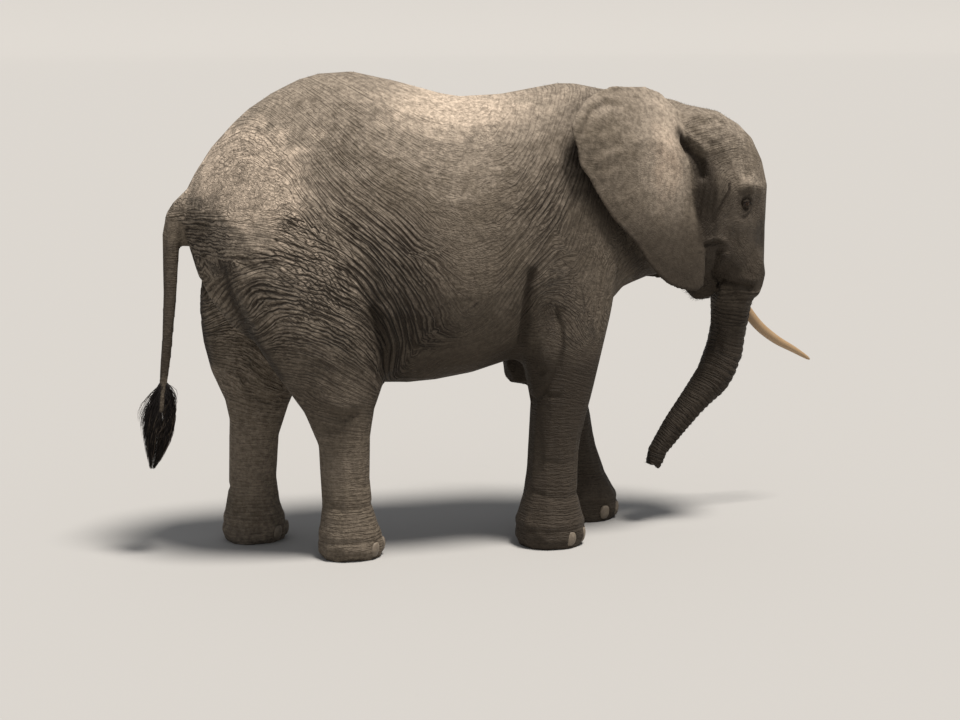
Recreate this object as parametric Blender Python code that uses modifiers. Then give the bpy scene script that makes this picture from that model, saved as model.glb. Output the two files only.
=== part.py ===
"""A young African elephant standing with its head low and its trunk curled back, as a life-size still model.

The flesh is modelled whole: lofts and muscles joined by a voxel remesh, their hollows softened, then parted
by thin cuts into named pieces. Ears, eyes, the tusk, the nails and the tail's tuft are pieces of their own.
+X is the way it faces, +Y its left side, +Z up, in metres. The origin is on the floor, under the middle of
the model's box.
"""

import math

import bmesh
import bpy
import numpy as np
from mathutils import Matrix, Vector
from mathutils.bvhtree import BVHTree

# ---------------------------------------------------------------- driving sizes
RIGHT, LEFT = -1, 1  # the sign of Y on each side of the animal

BODY_VOXEL = 0.016  # the grid that joins barrel and legs
FLESH_VOXEL = 0.012  # the grid that joins the whole animal
FLESH_TRIANGLES = 2300
CUT_GAP = 0.0004  # between neighbouring pieces
SLIVER = 1e-6  # edges shorter than this are closed up after a cut
RING_POINTS = 32
MASS_SEGMENTS, BALL_SEGMENTS, NAIL_SEGMENTS = 20, 12, 8
TAIL_SIDES, TUSK_SIDES, TUFT_SIDES = 16, 9, 8
BARREL_POWER, HEAD_POWER, LEG_POWER = 2.05, 2.2, 2.1  # of the sections: 2 is an ellipse, more is squarer
BODY_SOFTEN, BODY_CRESTS = 60, 0.08  # rounds of evening, and the share by which crests sink in each
FLESH_SOFTEN, FLESH_CRESTS = 30, 0.12
SOLE_RISE = 0.012  # skin this close to the floor becomes the sole

# Sections across the barrel of the body: x, top, bottom, half width, height of the widest level as a share.
BARREL = (
    (-1.375, 1.640, 1.420, 0.070, 0.50),
    (-1.290, 1.800, 1.180, 0.185, 0.50),
    (-1.110, 2.008, 0.990, 0.295, 0.50),
    (-0.860, 2.160, 0.900, 0.365, 0.47),
    (-0.630, 2.202, 0.800, 0.405, 0.45),
    (-0.400, 2.158, 0.765, 0.438, 0.42),
    (-0.120, 2.088, 0.790, 0.458, 0.41),
    (0.150, 2.102, 0.860, 0.440, 0.41),
    (0.400, 2.142, 0.960, 0.378, 0.43),
    (0.600, 2.112, 1.130, 0.312, 0.45),
    (0.830, 2.084, 1.225, 0.260, 0.48),
    (1.000, 2.045, 1.250, 0.212, 0.50),
)
# Level sections down the head: z, back, front, half width, share by which the face is narrower than the skull.
HEAD = (
    (2.030, 0.900, 1.060, 0.080, 0.10),
    (1.990, 0.850, 1.190, 0.165, 0.15),
    (1.900, 0.820, 1.315, 0.218, 0.22),
    (1.780, 0.810, 1.386, 0.240, 0.24),
    (1.660, 0.820, 1.420, 0.244, 0.22),
    (1.580, 0.840, 1.421, 0.238, 0.20),
    (1.480, 0.880, 1.418, 0.224, 0.20),
    (1.380, 0.960, 1.418, 0.206, 0.16),
    (1.280, 1.100, 1.412, 0.182, 0.10),
    (1.190, 1.185, 1.400, 0.160, 0.05),
    (1.130, 1.215, 1.370, 0.125, 0.05),
)
FACE_TAPER_POWER = 1.5
SKULL_WIDEST = 0.44  # where each section is widest, as a share of it from back to front
# Down the trunk: x, z, radius across, radius fore and aft.
TRUNK = (
    (1.270, 1.240, 0.122, 0.125),
    (1.264, 1.100, 0.104, 0.100),
    (1.250, 0.960, 0.090, 0.086),
    (1.215, 0.830, 0.084, 0.080),
    (1.150, 0.700, 0.078, 0.074),
    (1.060, 0.580, 0.070, 0.066),
    (0.970, 0.470, 0.059, 0.055),
    (0.895, 0.360, 0.049, 0.045),
    (0.868, 0.275, 0.043, 0.038),
)
# Down the tail: x, z, radius across, radius fore and aft.
TAIL = (
    (-1.330, 1.620, 0.062, 0.070),
    (-1.400, 1.570, 0.050, 0.050),
    (-1.432, 1.470, 0.040, 0.040),
    (-1.440, 1.300, 0.032, 0.033),
    (-1.452, 1.120, 0.027, 0.029),
    (-1.468, 0.950, 0.023, 0.025),
    (-1.484, 0.820, 0.020, 0.022),
    (-1.486, 0.790, 0.018, 0.019),
)
# Up a front leg: z, behind and ahead of the leg's line, half width, distance of its middle from the midline.
FRONT_LEG = (
    (0.000, 0.148, 0.158, 0.146, 0.225),
    (0.050, 0.160, 0.176, 0.160, 0.225),
    (0.130, 0.154, 0.160, 0.150, 0.225),
    (0.250, 0.130, 0.126, 0.124, 0.225),
    (0.400, 0.122, 0.116, 0.114, 0.225),
    (0.550, 0.126, 0.128, 0.118, 0.225),
    (0.680, 0.136, 0.146, 0.124, 0.228),
    (0.820, 0.178, 0.166, 0.132, 0.230),
    (0.980, 0.205, 0.186, 0.140, 0.235),
    (1.180, 0.240, 0.205, 0.144, 0.236),
    (1.420, 0.240, 0.205, 0.138, 0.238),
    (1.680, 0.180, 0.165, 0.115, 0.215),
    (1.950, 0.090, 0.100, 0.070, 0.140),
)
# Up a hind leg, in the same order.
HIND_LEG = (
    (0.000, 0.134, 0.150, 0.126, 0.210),
    (0.050, 0.146, 0.168, 0.138, 0.210),
    (0.130, 0.136, 0.144, 0.128, 0.210),
    (0.250, 0.118, 0.112, 0.108, 0.210),
    (0.400, 0.120, 0.108, 0.102, 0.210),
    (0.540, 0.126, 0.118, 0.108, 0.210),
    (0.680, 0.170, 0.150, 0.122, 0.214),
    (0.800, 0.240, 0.205, 0.142, 0.216),
    (0.950, 0.310, 0.270, 0.168, 0.220),
    (1.150, 0.375, 0.320, 0.186, 0.222),
    (1.400, 0.415, 0.330, 0.188, 0.220),
    (1.650, 0.370, 0.300, 0.165, 0.200),
    (1.900, 0.200, 0.200, 0.100, 0.130),
)
# The line each leg follows: x at the heights below.
LEGS = {
    "front_right": (FRONT_LEG, RIGHT, (0.275, 0.300, 0.335, 0.395)),
    "front_left": (FRONT_LEG, LEFT, (0.590, 0.500, 0.385, 0.395)),
    "hind_right": (HIND_LEG, RIGHT, (-0.680, -0.690, -0.725, -0.840)),
    "hind_left": (HIND_LEG, LEFT, (-1.060, -1.040, -0.990, -0.860)),
}
LEG_JOINTS = (0.12, 0.50, 0.82, 1.40)  # foot, wrist or ankle, elbow or knee, shoulder or hip

# Muscles and bones that show: name, centre, radii, turn in degrees about X, Y, Z.
MIDLINE_MASSES = (
    ("chin", (1.105, 0, 1.180), (0.075, 0.075, 0.090), (0, 20, 0)),
    ("jaw", (1.045, 0, 1.280), (0.170, 0.125, 0.115), (0, 45, 0)),
    ("brisket", (0.500, 0, 1.230), (0.200, 0.180, 0.160), (0, 0, 0)),
)
SIDE_MASSES = (
    ("cheek", (1.050, 0.125, 1.430), (0.150, 0.100, 0.190), (0, 0, 0)),
    ("tusk_sheath", (1.300, 0.115, 1.240), (0.085, 0.065, 0.150), (0, 0, 0)),
    ("brow", (1.235, 0.160, 1.665), (0.140, 0.058, 0.060), (0, 20, -16)),
    ("orbit", (1.200, 0.160, 1.585), (0.140, 0.058, 0.095), (0, 0, -10)),
    ("temple", (1.050, 0.165, 1.800), (0.160, 0.075, 0.130), (0, 0, 0)),
    ("elbow", (0.248, 0.225, 0.790), (0.072, 0.070, 0.110), (0, 0, 0)),
)

# The ear's outline, from its top round by the back and the low tip to its root: x, z.
EAR_OUTLINE = (
    (0.660, 2.126), (0.500, 2.112), (0.345, 2.010), (0.322, 1.900), (0.370, 1.775), (0.440, 1.665),
    (0.525, 1.540), (0.640, 1.430), (0.720, 1.320), (0.820, 1.225), (0.930, 1.185), (1.020, 1.195),
    (1.032, 1.360), (1.020, 1.520), (1.000, 1.620), (0.990, 1.740), (0.975, 1.920), (0.840, 2.094),
)
EAR_HEART = (0.740, 1.700)  # the middle that the ear's rings shrink to
EAR_ROOT_X, EAR_ROOT_Y = 0.990, 0.245
EAR_SPREAD = 0.29  # how fast the blade stands away from the neck, towards the back
EAR_THICK, EAR_EDGE_THICK = 0.022, 0.010
EAR_ROLL, EAR_ROLL_FROM, EAR_ROLL_HEIGHT = 0.13, 1.86, 0.26  # the upper edge leans over the neck
EAR_TUCK, EAR_TUCK_WIDTH = 0.070, 0.130  # the root turns into the side of the head and neck
EAR_ROOT_LINE = ((1.40, 1.60, 1.74, 1.88, 2.04, 2.12), (1.12, 1.01, 0.99, 0.97, 0.90, 0.80))  # heights, x
EAR_ROLL_POWER, EAR_TUCK_POWER, EAR_TUCK_MOST = 1.6, 1.5, 1.2
EAR_RINGS = (0.45, 0.80, 1.0)  # as shares of the outline

EYE_X, EYE_Z = 1.252, 1.577
EYE_RADIUS = 0.0195
EYE_SUNK = 0.0125  # from the skin in to the eye's middle
EYE_BEARING = math.radians(20)  # how far ahead of straight sideways an eye looks

# The left tusk: x, y, z, radius.
TUSK = (
    (1.330, 0.130, 1.120, 0.026),
    (1.400, 0.145, 1.020, 0.026),
    (1.480, 0.163, 0.930, 0.025),
    (1.580, 0.185, 0.855, 0.022),
    (1.690, 0.213, 0.795, 0.016),
    (1.765, 0.233, 0.752, 0.010),
    (1.792, 0.240, 0.735, 0.004),
)

# Nails: for each kind of foot, their bearings from straight ahead in degrees and their half widths.
NAILS = {
    "front": ((-62, 0.030), (-22, 0.038), (20, 0.038), (60, 0.030)),
    "hind": ((-42, 0.030), (0, 0.036), (42, 0.030)),
}
NAIL_LEAN = 8  # degrees
NAIL_Z, NAIL_HALF_HEIGHT, NAIL_HALF_DEPTH, NAIL_PROUD = 0.046, 0.037, 0.014, 0.005
NAIL_REACH = 0.28  # wider than a foot, and short of its neighbour

# The tuft, from its root to its tip: x, z, half length fore and aft, half thickness.
TUFT = (
    (-1.488, 0.800, 0.028, 0.026),
    (-1.492, 0.760, 0.055, 0.032),
    (-1.496, 0.705, 0.092, 0.038),
    (-1.500, 0.640, 0.098, 0.040),
    (-1.508, 0.560, 0.080, 0.036),
    (-1.522, 0.490, 0.054, 0.026),
    (-1.536, 0.435, 0.028, 0.015),
    (-1.545, 0.402, 0.008, 0.006),
)

# The slit of the mouth, between the lower lip and the root of the trunk: x, z corners.
MOUTH = ((1.140, 1.020), (1.166, 1.020), (1.193, 1.330), (1.186, 1.330))

# Thin cuts that part the flesh: name, side (0 for the midline), profile as x, z corners. Each takes from what
# the ones before it left, and the rump is what all of them leave.
ALL_Y, CHEST_CORE, PELVIS_CORE = 0.9, 0.085, 0.085
PIECES = (
    ("tail_tip", 0, ((-1.70, 0.800), (-1.380, 0.800), (-1.380, 1.120), (-1.70, 1.120))),
    ("tail_root", 0, ((-1.70, 1.120), (-1.380, 1.120), (-1.380, 1.520), (-1.70, 1.560))),
    ("front_right_foot", RIGHT, ((0.00, -0.02), (0.56, -0.02), (0.56, 0.21), (0.00, 0.21))),
    ("front_left_foot", LEFT, ((0.30, -0.02), (0.86, -0.02), (0.86, 0.21), (0.30, 0.21))),
    ("hind_right_foot", RIGHT, ((-0.96, -0.02), (-0.40, -0.02), (-0.40, 0.20), (-0.96, 0.20))),
    ("hind_left_foot", LEFT, ((-1.34, -0.02), (-0.78, -0.02), (-0.78, 0.20), (-1.34, 0.20))),
    ("front_right_lower_leg", RIGHT, ((0.00, 0.21), (0.60, 0.21), (0.60, 0.66), (0.00, 0.70))),
    ("front_left_lower_leg", LEFT, ((0.20, 0.21), (0.86, 0.21), (0.80, 0.66), (0.12, 0.70))),
    ("hind_right_lower_leg", RIGHT, ((-1.00, 0.20), (-0.40, 0.20), (-0.40, 0.70), (-1.05, 0.62))),
    ("hind_left_lower_leg", LEFT, ((-1.36, 0.20), (-0.78, 0.20), (-0.70, 0.70), (-1.32, 0.62))),
    ("lower_jaw", 0, ((0.985, 1.000), (1.148, 1.000), (1.190, 1.345), (1.010, 1.335))),
    ("trunk_tip", 0, ((0.700, 0.200), (1.000, 0.200), (1.150, 0.400), (0.800, 0.550))),
    ("trunk_lower", 0, ((0.800, 0.550), (1.150, 0.400), (1.400, 0.650), (0.950, 0.830))),
    ("trunk_middle", 0, ((0.950, 0.830), (1.400, 0.650), (1.500, 0.960), (1.000, 0.980))),
    ("trunk_root", 0, ((1.000, 0.980), (1.500, 0.960), (1.500, 1.170), (1.100, 1.170))),
    ("front_right_upper_leg", RIGHT, (
        (0.060, 0.60), (0.600, 0.60), (0.655, 1.00), (0.600, 1.36), (0.400, 1.50), (0.190, 1.38),
        (0.070, 1.00))),
    ("front_left_upper_leg", LEFT, (
        (0.100, 0.60), (0.780, 0.60), (0.730, 1.00), (0.610, 1.36), (0.400, 1.50), (0.190, 1.38),
        (0.085, 1.00))),
    ("hind_right_upper_leg", RIGHT, (
        (-1.050, 0.55), (-0.400, 0.55), (-0.440, 1.00), (-0.550, 1.48), (-0.820, 1.70), (-1.110, 1.52),
        (-1.200, 1.12), (-1.150, 0.80))),
    ("hind_left_upper_leg", LEFT, (
        (-1.320, 0.55), (-0.650, 0.55), (-0.520, 1.00), (-0.560, 1.48), (-0.840, 1.70), (-1.140, 1.54),
        (-1.330, 1.12), (-1.350, 0.80))),
    ("head", 0, ((0.930, 0.900), (1.700, 0.900), (1.700, 2.400), (0.800, 2.400))),
    ("neck", 0, ((0.690, 0.900), (1.200, 0.900), (1.200, 2.400), (0.560, 2.400))),
    ("chest", 0, ((0.060, 0.400), (1.200, 0.400), (1.200, 2.400), (0.060, 2.400))),
    ("belly", 0, ((-0.500, 0.400), (0.400, 0.400), (0.400, 2.400), (-0.500, 2.400))),
)

# Material: colour, roughness.
HIDE = ((0.165, 0.135, 0.108), 0.85)
EYE_BROWN = ((0.035, 0.016, 0.008), 0.08)
IVORY = ((0.55, 0.46, 0.33), 0.45)
NAIL_HORN = ((0.22, 0.18, 0.14), 0.60)
TAIL_HAIR = ((0.018, 0.015, 0.014), 0.55)


# ---------------------------------------------------------------- making shapes
def clear_scene():
    for item in list(bpy.data.objects):
        bpy.data.objects.remove(item, do_unlink=True)


def smooth_stations(stations, steps=5, closed=False):
    """Catmull-Rom curves through the stations, so that a few of them make a smooth loft."""
    rows = np.array(stations, float)
    if closed:
        ends = np.vstack([rows[-1], rows, rows[:2]])
    else:
        ends = np.vstack([2 * rows[0] - rows[1], rows, 2 * rows[-1] - rows[-2]])
    made = []
    for before, start, stop, after in zip(ends, ends[1:], ends[2:], ends[3:]):
        for t in np.arange(steps) / steps:
            made.append(
                0.5 * (2 * start + (stop - before) * t
                       + (2 * before - 5 * start + 4 * stop - after) * t**2
                       + (3 * start - before - 3 * stop + after) * t**3)
            )
    return np.array(made if closed else made + [rows[-1]])


def ring_wave(power=2.0, count=RING_POINTS):
    """Cosine and sine round a superellipse of that power."""
    angle = np.linspace(0, 2 * math.pi, count, endpoint=False)
    c, s = np.cos(angle), np.sin(angle)
    return np.sign(c) * np.abs(c) ** (2 / power), np.sign(s) * np.abs(s) ** (2 / power)


def finished(name, shape):
    """Writes a bmesh, with its faces turned out, into a new object of the scene."""
    bmesh.ops.recalc_face_normals(shape, faces=shape.faces[:])
    mesh = bpy.data.meshes.new(name)
    shape.to_mesh(mesh)
    shape.free()
    made = bpy.data.objects.new(name, mesh)
    bpy.context.scene.collection.objects.link(made)
    return made


def loft(name, rings):
    """A closed skin over rings of equal size, with a fan of faces on each end."""
    shape = bmesh.new()
    rows = [[shape.verts.new(p) for p in ring] for ring in rings]
    for low, high in zip(rows, rows[1:]):
        for i in range(len(low)):
            j = (i + 1) % len(low)
            shape.faces.new((low[i], low[j], high[j], high[i]))
    for ring, points in ((rows[0][::-1], rings[0]), (rows[-1], rings[-1])):
        middle = shape.verts.new(np.mean(points, axis=0))
        for i in range(len(ring)):
            shape.faces.new((ring[i], ring[(i + 1) % len(ring)], middle))
    return finished(name, shape)


def turned_by(turn):
    made = Matrix.Identity(4)
    for degrees, axis in zip(turn, "XYZ"):
        made = Matrix.Rotation(math.radians(degrees), 4, axis) @ made
    return made


def ellipsoid(name, centre, radii, turn=(0, 0, 0), segments=MASS_SEGMENTS):
    """An ellipsoid, turned about X, Y and Z in degrees."""
    shape = bmesh.new()
    bmesh.ops.create_uvsphere(shape, u_segments=segments, v_segments=segments // 2, radius=1)
    place = Matrix.Translation(centre) @ turned_by(turn) @ Matrix.Diagonal((*radii, 1))
    bmesh.ops.transform(shape, matrix=place, verts=shape.verts)
    return finished(name, shape)


def barrel():
    rings = []
    for x, top, bottom, width, level in smooth_stations(BARREL):
        widest = bottom + (top - bottom) * level
        c, s = ring_wave(BARREL_POWER)
        z = widest + np.where(s > 0, (top - widest) * s, (widest - bottom) * s)
        rings.append(np.stack([np.full_like(z, x), width * c, z], 1))
    return loft("barrel", rings)


def head():
    rings = []
    for z, back, front, width, narrower in smooth_stations(HEAD):
        widest = back + SKULL_WIDEST * (front - back)
        c, s = ring_wave(HEAD_POWER)
        x = widest + np.where(c > 0, (front - widest) * c, (widest - back) * c)
        y = width * s * (1 - narrower * np.maximum(c, 0) ** FACE_TAPER_POWER)
        rings.append(np.stack([x, y, np.full_like(x, z)], 1))
    return loft("head_mass", rings)


def tube(name, stations, count=RING_POINTS):
    """A loft along a path in the midplane, with each ring square to the path."""
    rows = smooth_stations(stations)
    along = np.gradient(rows[:, :2], axis=0)
    along /= np.linalg.norm(along, axis=1)[:, None]
    rings = []
    for (x, z, across, fore), (dx, dz) in zip(rows, along):
        c, s = ring_wave(count=count)
        rings.append(np.stack([x + fore * c * dz, across * s, z - fore * c * dx], 1))
    return loft(name, rings)


def leg(name):
    sections, side, line = LEGS[name]
    rings = []
    for z, behind, ahead, width, out in smooth_stations(sections):
        c, s = ring_wave(LEG_POWER)
        x = np.interp(z, LEG_JOINTS, line) + np.where(c > 0, ahead * c, behind * c)
        rings.append(np.stack([x, side * out + width * s, np.full_like(x, z)], 1))
    return loft(name, rings)


# ---------------------------------------------------------------- the flesh
def baked(item):
    """Replaces an object's mesh by what its modifiers make."""
    graph = bpy.context.evaluated_depsgraph_get()
    mesh = bpy.data.meshes.new_from_object(item.evaluated_get(graph))
    item.modifiers.clear()
    item.data = mesh
    return item


def joined(name, objects, voxel):
    """Solids as one closed surface, from a voxel grid."""
    shape = bmesh.new()
    for item in objects:
        shape.from_mesh(item.data)
        bpy.data.objects.remove(item, do_unlink=True)
    whole = finished(name, shape)
    remesh = whole.modifiers.new("join", "REMESH")
    remesh.mode = "VOXEL"
    remesh.voxel_size = voxel
    return baked(whole)


def points_of(mesh):
    points = np.empty(len(mesh.vertices) * 3, np.float32)
    mesh.vertices.foreach_get("co", points)
    return points.reshape(-1, 3).astype(float)


def set_points(mesh, points):
    mesh.vertices.foreach_set("co", points.astype(np.float32).ravel())
    mesh.update()


def normals_of(points, faces):
    """Vertex normals, weighted by the faces' areas."""
    p, q, r = points[faces].transpose(1, 0, 2)
    facing = np.cross(q - p, r - p)
    count = len(points)
    normal = np.stack([np.bincount(faces.ravel(), np.repeat(facing[:, k], 3), count) for k in range(3)], 1)
    return normal / (np.linalg.norm(normal, axis=1)[:, None] + 1e-12)


def triangles_of(mesh):
    mesh.calc_loop_triangles()
    corners = np.empty(len(mesh.loop_triangles) * 3, np.int32)
    mesh.loop_triangles.foreach_get("vertices", corners)
    return corners.reshape(-1, 3)


def soften(item, rounds, crest_share):
    """Evens the surface. Hollows fill in full and crests sink by a share, so masses flow together."""
    mesh = item.data
    points, faces = points_of(mesh), triangles_of(mesh)
    count = len(points)
    ends = np.empty(len(mesh.edges) * 2, np.int32)
    mesh.edges.foreach_get("vertices", ends)
    a, b = ends.reshape(-1, 2).T
    tip, tail = np.concatenate([a, b]), np.concatenate([b, a])
    degree = np.bincount(tip, minlength=count)[:, None]
    for _ in range(rounds):
        normal = normals_of(points, faces)
        mean = np.stack([np.bincount(tip, points[tail, k], count) for k in range(3)], 1) / degree
        shift = mean - points
        rise = (shift * normal).sum(1)[:, None]
        slide = shift - rise * normal
        points += 0.5 * (slide + np.where(rise > 0, rise, crest_share * rise) * normal)
    set_points(mesh, points)


def flesh():
    body = joined("body", [barrel()] + [leg(name) for name in LEGS], BODY_VOXEL)
    soften(body, BODY_SOFTEN, BODY_CRESTS)
    masses = [body, head(), tube("trunk", TRUNK), tube("tail", TAIL, TAIL_SIDES)]
    masses += [ellipsoid(*mass) for mass in MIDLINE_MASSES]
    for name, (x, y, z), radii, (roll, pitch, yaw) in SIDE_MASSES:
        for side in (RIGHT, LEFT):
            masses.append(ellipsoid(name, (x, side * y, z), radii, (side * roll, pitch, side * yaw)))
    whole = joined("flesh", masses, FLESH_VOXEL)
    soften(whole, FLESH_SOFTEN, FLESH_CRESTS)
    level_soles(whole)
    fewer = whole.modifiers.new("fewer", "DECIMATE")
    fewer.ratio = FLESH_TRIANGLES / len(triangles_of(whole.data))
    level_soles(baked(whole))
    return whole


def level_soles(item):
    """The soles are flat and all at one level."""
    points = points_of(item.data)
    points[points[:, 2] < SOLE_RISE, 2] = 0
    set_points(item.data, points)


# ---------------------------------------------------------------- parting
def helper(item):
    """Keeps a cutter out of the model, drawn as wires, in the cutters' collection."""
    bpy.context.scene.collection.objects.unlink(item)
    bpy.data.collections["cutters"].objects.link(item)
    item.hide_render = True
    item.display_type = "WIRE"
    return item


def cut(item, cutter, operation):
    """Applies one Boolean and drops the cutter."""
    change = item.modifiers.new("cut", "BOOLEAN")
    change.operation = operation
    change.solver = "EXACT"
    change.object = helper(cutter)
    baked(item)
    bpy.data.objects.remove(cutter, do_unlink=True)
    shape = bmesh.new()
    shape.from_mesh(item.data)
    bmesh.ops.dissolve_degenerate(shape, edges=shape.edges, dist=SLIVER)
    drop_flakes(shape)
    bmesh.ops.triangulate(shape, faces=shape.faces)
    shape.to_mesh(item.data)
    shape.free()


def drop_flakes(shape):
    """Keeps the largest body of a shape and drops the flakes that a cut leaves beside it."""
    unseen, bodies = set(shape.verts), []
    while unseen:
        edge_of_body = [unseen.pop()]
        body = set(edge_of_body)
        while edge_of_body:
            beside = {e.other_vert(v) for v in edge_of_body for e in v.link_edges} - body
            body |= beside
            edge_of_body = list(beside)
        unseen -= body
        bodies.append(body)
    bodies.sort(key=len)
    flakes = [v for body in bodies[:-1] for v in body]
    bmesh.ops.delete(shape, geom=flakes, context="VERTS")


def prism(profile, y_low, y_high, grow):
    """A convex x, z profile drawn out across Y, with every face moved out by the growth."""
    corners = np.array(profile, float)
    middle = corners.mean(axis=0)
    lines = []
    for start, stop in zip(corners, np.roll(corners, -1, axis=0)):
        out = np.array([stop[1] - start[1], start[0] - stop[0]])
        out /= np.linalg.norm(out)
        if np.dot(out, start - middle) < 0:
            out = -out
        lines.append((out, np.dot(out, start) + grow))
    moved = [
        np.linalg.solve(np.array([before[0], after[0]]), np.array([before[1], after[1]]))
        for before, after in zip(lines[-1:] + lines[:-1], lines)
    ]
    rings = [[(x, y, z) for x, z in moved] for y in (y_low - grow, y_high + grow)]
    shape = bmesh.new()
    rows = [[shape.verts.new(p) for p in ring] for ring in rings]
    for i in range(len(moved)):
        j = (i + 1) % len(moved)
        shape.faces.new((rows[0][i], rows[0][j], rows[1][j], rows[1][i]))
    for row in rows:
        shape.faces.new(row)
    return finished("cutter", shape)


def copied(name, item):
    made = bpy.data.objects.new(name, item.data.copy())
    bpy.context.scene.collection.objects.link(made)
    return made


def part(whole):
    """Parts the flesh by the profiles, in order. Returns the pieces by name."""
    pieces = {}
    cut(whole, prism(MOUTH, -ALL_Y, ALL_Y, 0), "DIFFERENCE")
    for name, side, profile in PIECES:
        core = CHEST_CORE if "front" in name else PELVIS_CORE
        low, high = {0: (-ALL_Y, ALL_Y), RIGHT: (-ALL_Y, -core), LEFT: (core, ALL_Y)}[side]
        piece = copied(name, whole)
        cut(piece, prism(profile, low, high, 0), "INTERSECT")
        cut(whole, prism(profile, low, high, CUT_GAP), "DIFFERENCE")
        pieces[name] = piece
    pieces["rump"] = whole
    return pieces


def grown(item, distance, name="clearance"):
    """A copy whose surface is moved out along its normals."""
    made = copied(name, item)
    points = points_of(made.data)
    set_points(made.data, points + distance * normals_of(points, triangles_of(made.data)))
    return made


# ---------------------------------------------------------------- ears, eyes, tusk, nails and tuft
def ear_depth(x, z):
    """How far from the midline the ear's blade lies."""
    stand = EAR_ROOT_Y + EAR_SPREAD * (EAR_ROOT_X - x)
    roll = EAR_ROLL * np.clip((z - EAR_ROLL_FROM) / EAR_ROLL_HEIGHT, 0, 1) ** EAR_ROLL_POWER
    near_root = np.clip((x - np.interp(z, *EAR_ROOT_LINE)) / EAR_TUCK_WIDTH + 1, 0, EAR_TUCK_MOST)
    tuck = EAR_TUCK * near_root**EAR_TUCK_POWER
    return stand - roll - tuck


def ear(side):
    outline = smooth_stations(EAR_OUTLINE, 2, closed=True)
    heart = np.array(EAR_HEART)
    shape = bmesh.new()
    sheets = []
    for face in (1, -1):
        rows = []
        for share in EAR_RINGS:
            row = []
            for x, z in heart + share * (outline - heart):
                half = (EAR_THICK + (EAR_EDGE_THICK - EAR_THICK) * share**2) / 2 * face * (share < 1)
                row.append(shape.verts.new((x, side * (ear_depth(x, z) + half), z)))
            rows.append(row)
        x, z = heart
        middle = shape.verts.new((x, side * (ear_depth(x, z) + face * EAR_THICK / 2), z))
        sheets.append((middle, rows))
    count = len(outline)
    for middle, rows in sheets:
        for i in range(count):
            j = (i + 1) % count
            shape.faces.new((middle, rows[0][i], rows[0][j]))
            for inner, outer in zip(rows, rows[1:]):
                shape.faces.new((inner[i], inner[j], outer[j], outer[i]))
    bmesh.ops.remove_doubles(shape, verts=shape.verts, dist=SLIVER)
    bmesh.ops.triangulate(shape, faces=shape.faces)
    return finished("ear_right" if side == RIGHT else "ear_left", shape)


def surface_hit(tree, start, towards):
    """The first point of the flesh on the way from start."""
    return tree.ray_cast(Vector(start), Vector(towards))[0]


def eye(side, tree):
    point = surface_hit(tree, (EYE_X, side, EYE_Z), (0, -side, 0))
    centre = point - EYE_SUNK * Vector((math.sin(EYE_BEARING), side * math.cos(EYE_BEARING), 0))
    name = "eye_right" if side == RIGHT else "eye_left"
    return centre, ellipsoid(name, centre, (EYE_RADIUS,) * 3, segments=BALL_SEGMENTS)


def tusk():
    rows = smooth_stations(TUSK, 2)
    along = np.gradient(rows[:, :3], axis=0)
    rings = []
    for (x, y, z, radius), direction in zip(rows, along):
        turn = Vector(direction).to_track_quat("Z", "Y").to_matrix()
        c, s = ring_wave(count=TUSK_SIDES)
        rings.append([Vector((x, y, z)) + turn @ Vector((radius * a, radius * b, 0)) for a, b in zip(c, s)])
    return loft("tusk_left", [[tuple(p) for p in ring] for ring in rings])


def nails(name, tree):
    """The nails of one foot, each a low dome let into the skin."""
    sections, side, line = LEGS[name]
    foot_x, foot_y = line[0], side * sections[0][4]
    made = []
    for i, (bearing, half_width) in enumerate(NAILS[name.split("_")[0]]):
        way = Vector((math.cos(math.radians(bearing)), math.sin(math.radians(bearing)), 0))
        start = Vector((foot_x, foot_y, NAIL_Z)) + NAIL_REACH * way
        point = surface_hit(tree, start, -way)
        centre = point - (NAIL_HALF_DEPTH - NAIL_PROUD) * way
        radii = (NAIL_HALF_DEPTH, half_width, NAIL_HALF_HEIGHT)
        made.append(ellipsoid(f"{name}_nail_{i + 1}", centre, radii, (0, NAIL_LEAN, bearing), NAIL_SEGMENTS))
    return made


def tuft():
    rings = []
    for x, z, fore, thick in smooth_stations(TUFT, 2):
        c, s = ring_wave(count=TUFT_SIDES)
        rings.append(np.stack([x + fore * c, thick * s, np.full_like(c, z)], 1))
    return loft("tail_tuft", rings)


# ---------------------------------------------------------------- finishing
def material(name, look):
    colour, roughness = look
    made = bpy.data.materials.new(name)
    made.use_nodes = True
    surface = made.node_tree.nodes["Principled BSDF"]
    surface.inputs["Base Color"].default_value = (*colour, 1)
    surface.inputs["Roughness"].default_value = roughness
    return made


def look_of(name):
    if name.startswith("eye"):
        return EYE_BROWN
    if name.startswith("tusk"):
        return IVORY
    if "nail" in name:
        return NAIL_HORN
    if name == "tail_tuft":
        return TAIL_HAIR
    return HIDE


def place_on_origin(pieces):
    """Moves the model so that the middle of its box stands over the origin, on the floor."""
    points = np.vstack([points_of(item.data) for item in pieces])
    middle = (points.min(axis=0) + points.max(axis=0)) / 2
    shift = Matrix.Translation((-middle[0], -middle[1], -points[:, 2].min()))
    for item in pieces:
        item.data.transform(shift)


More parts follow.
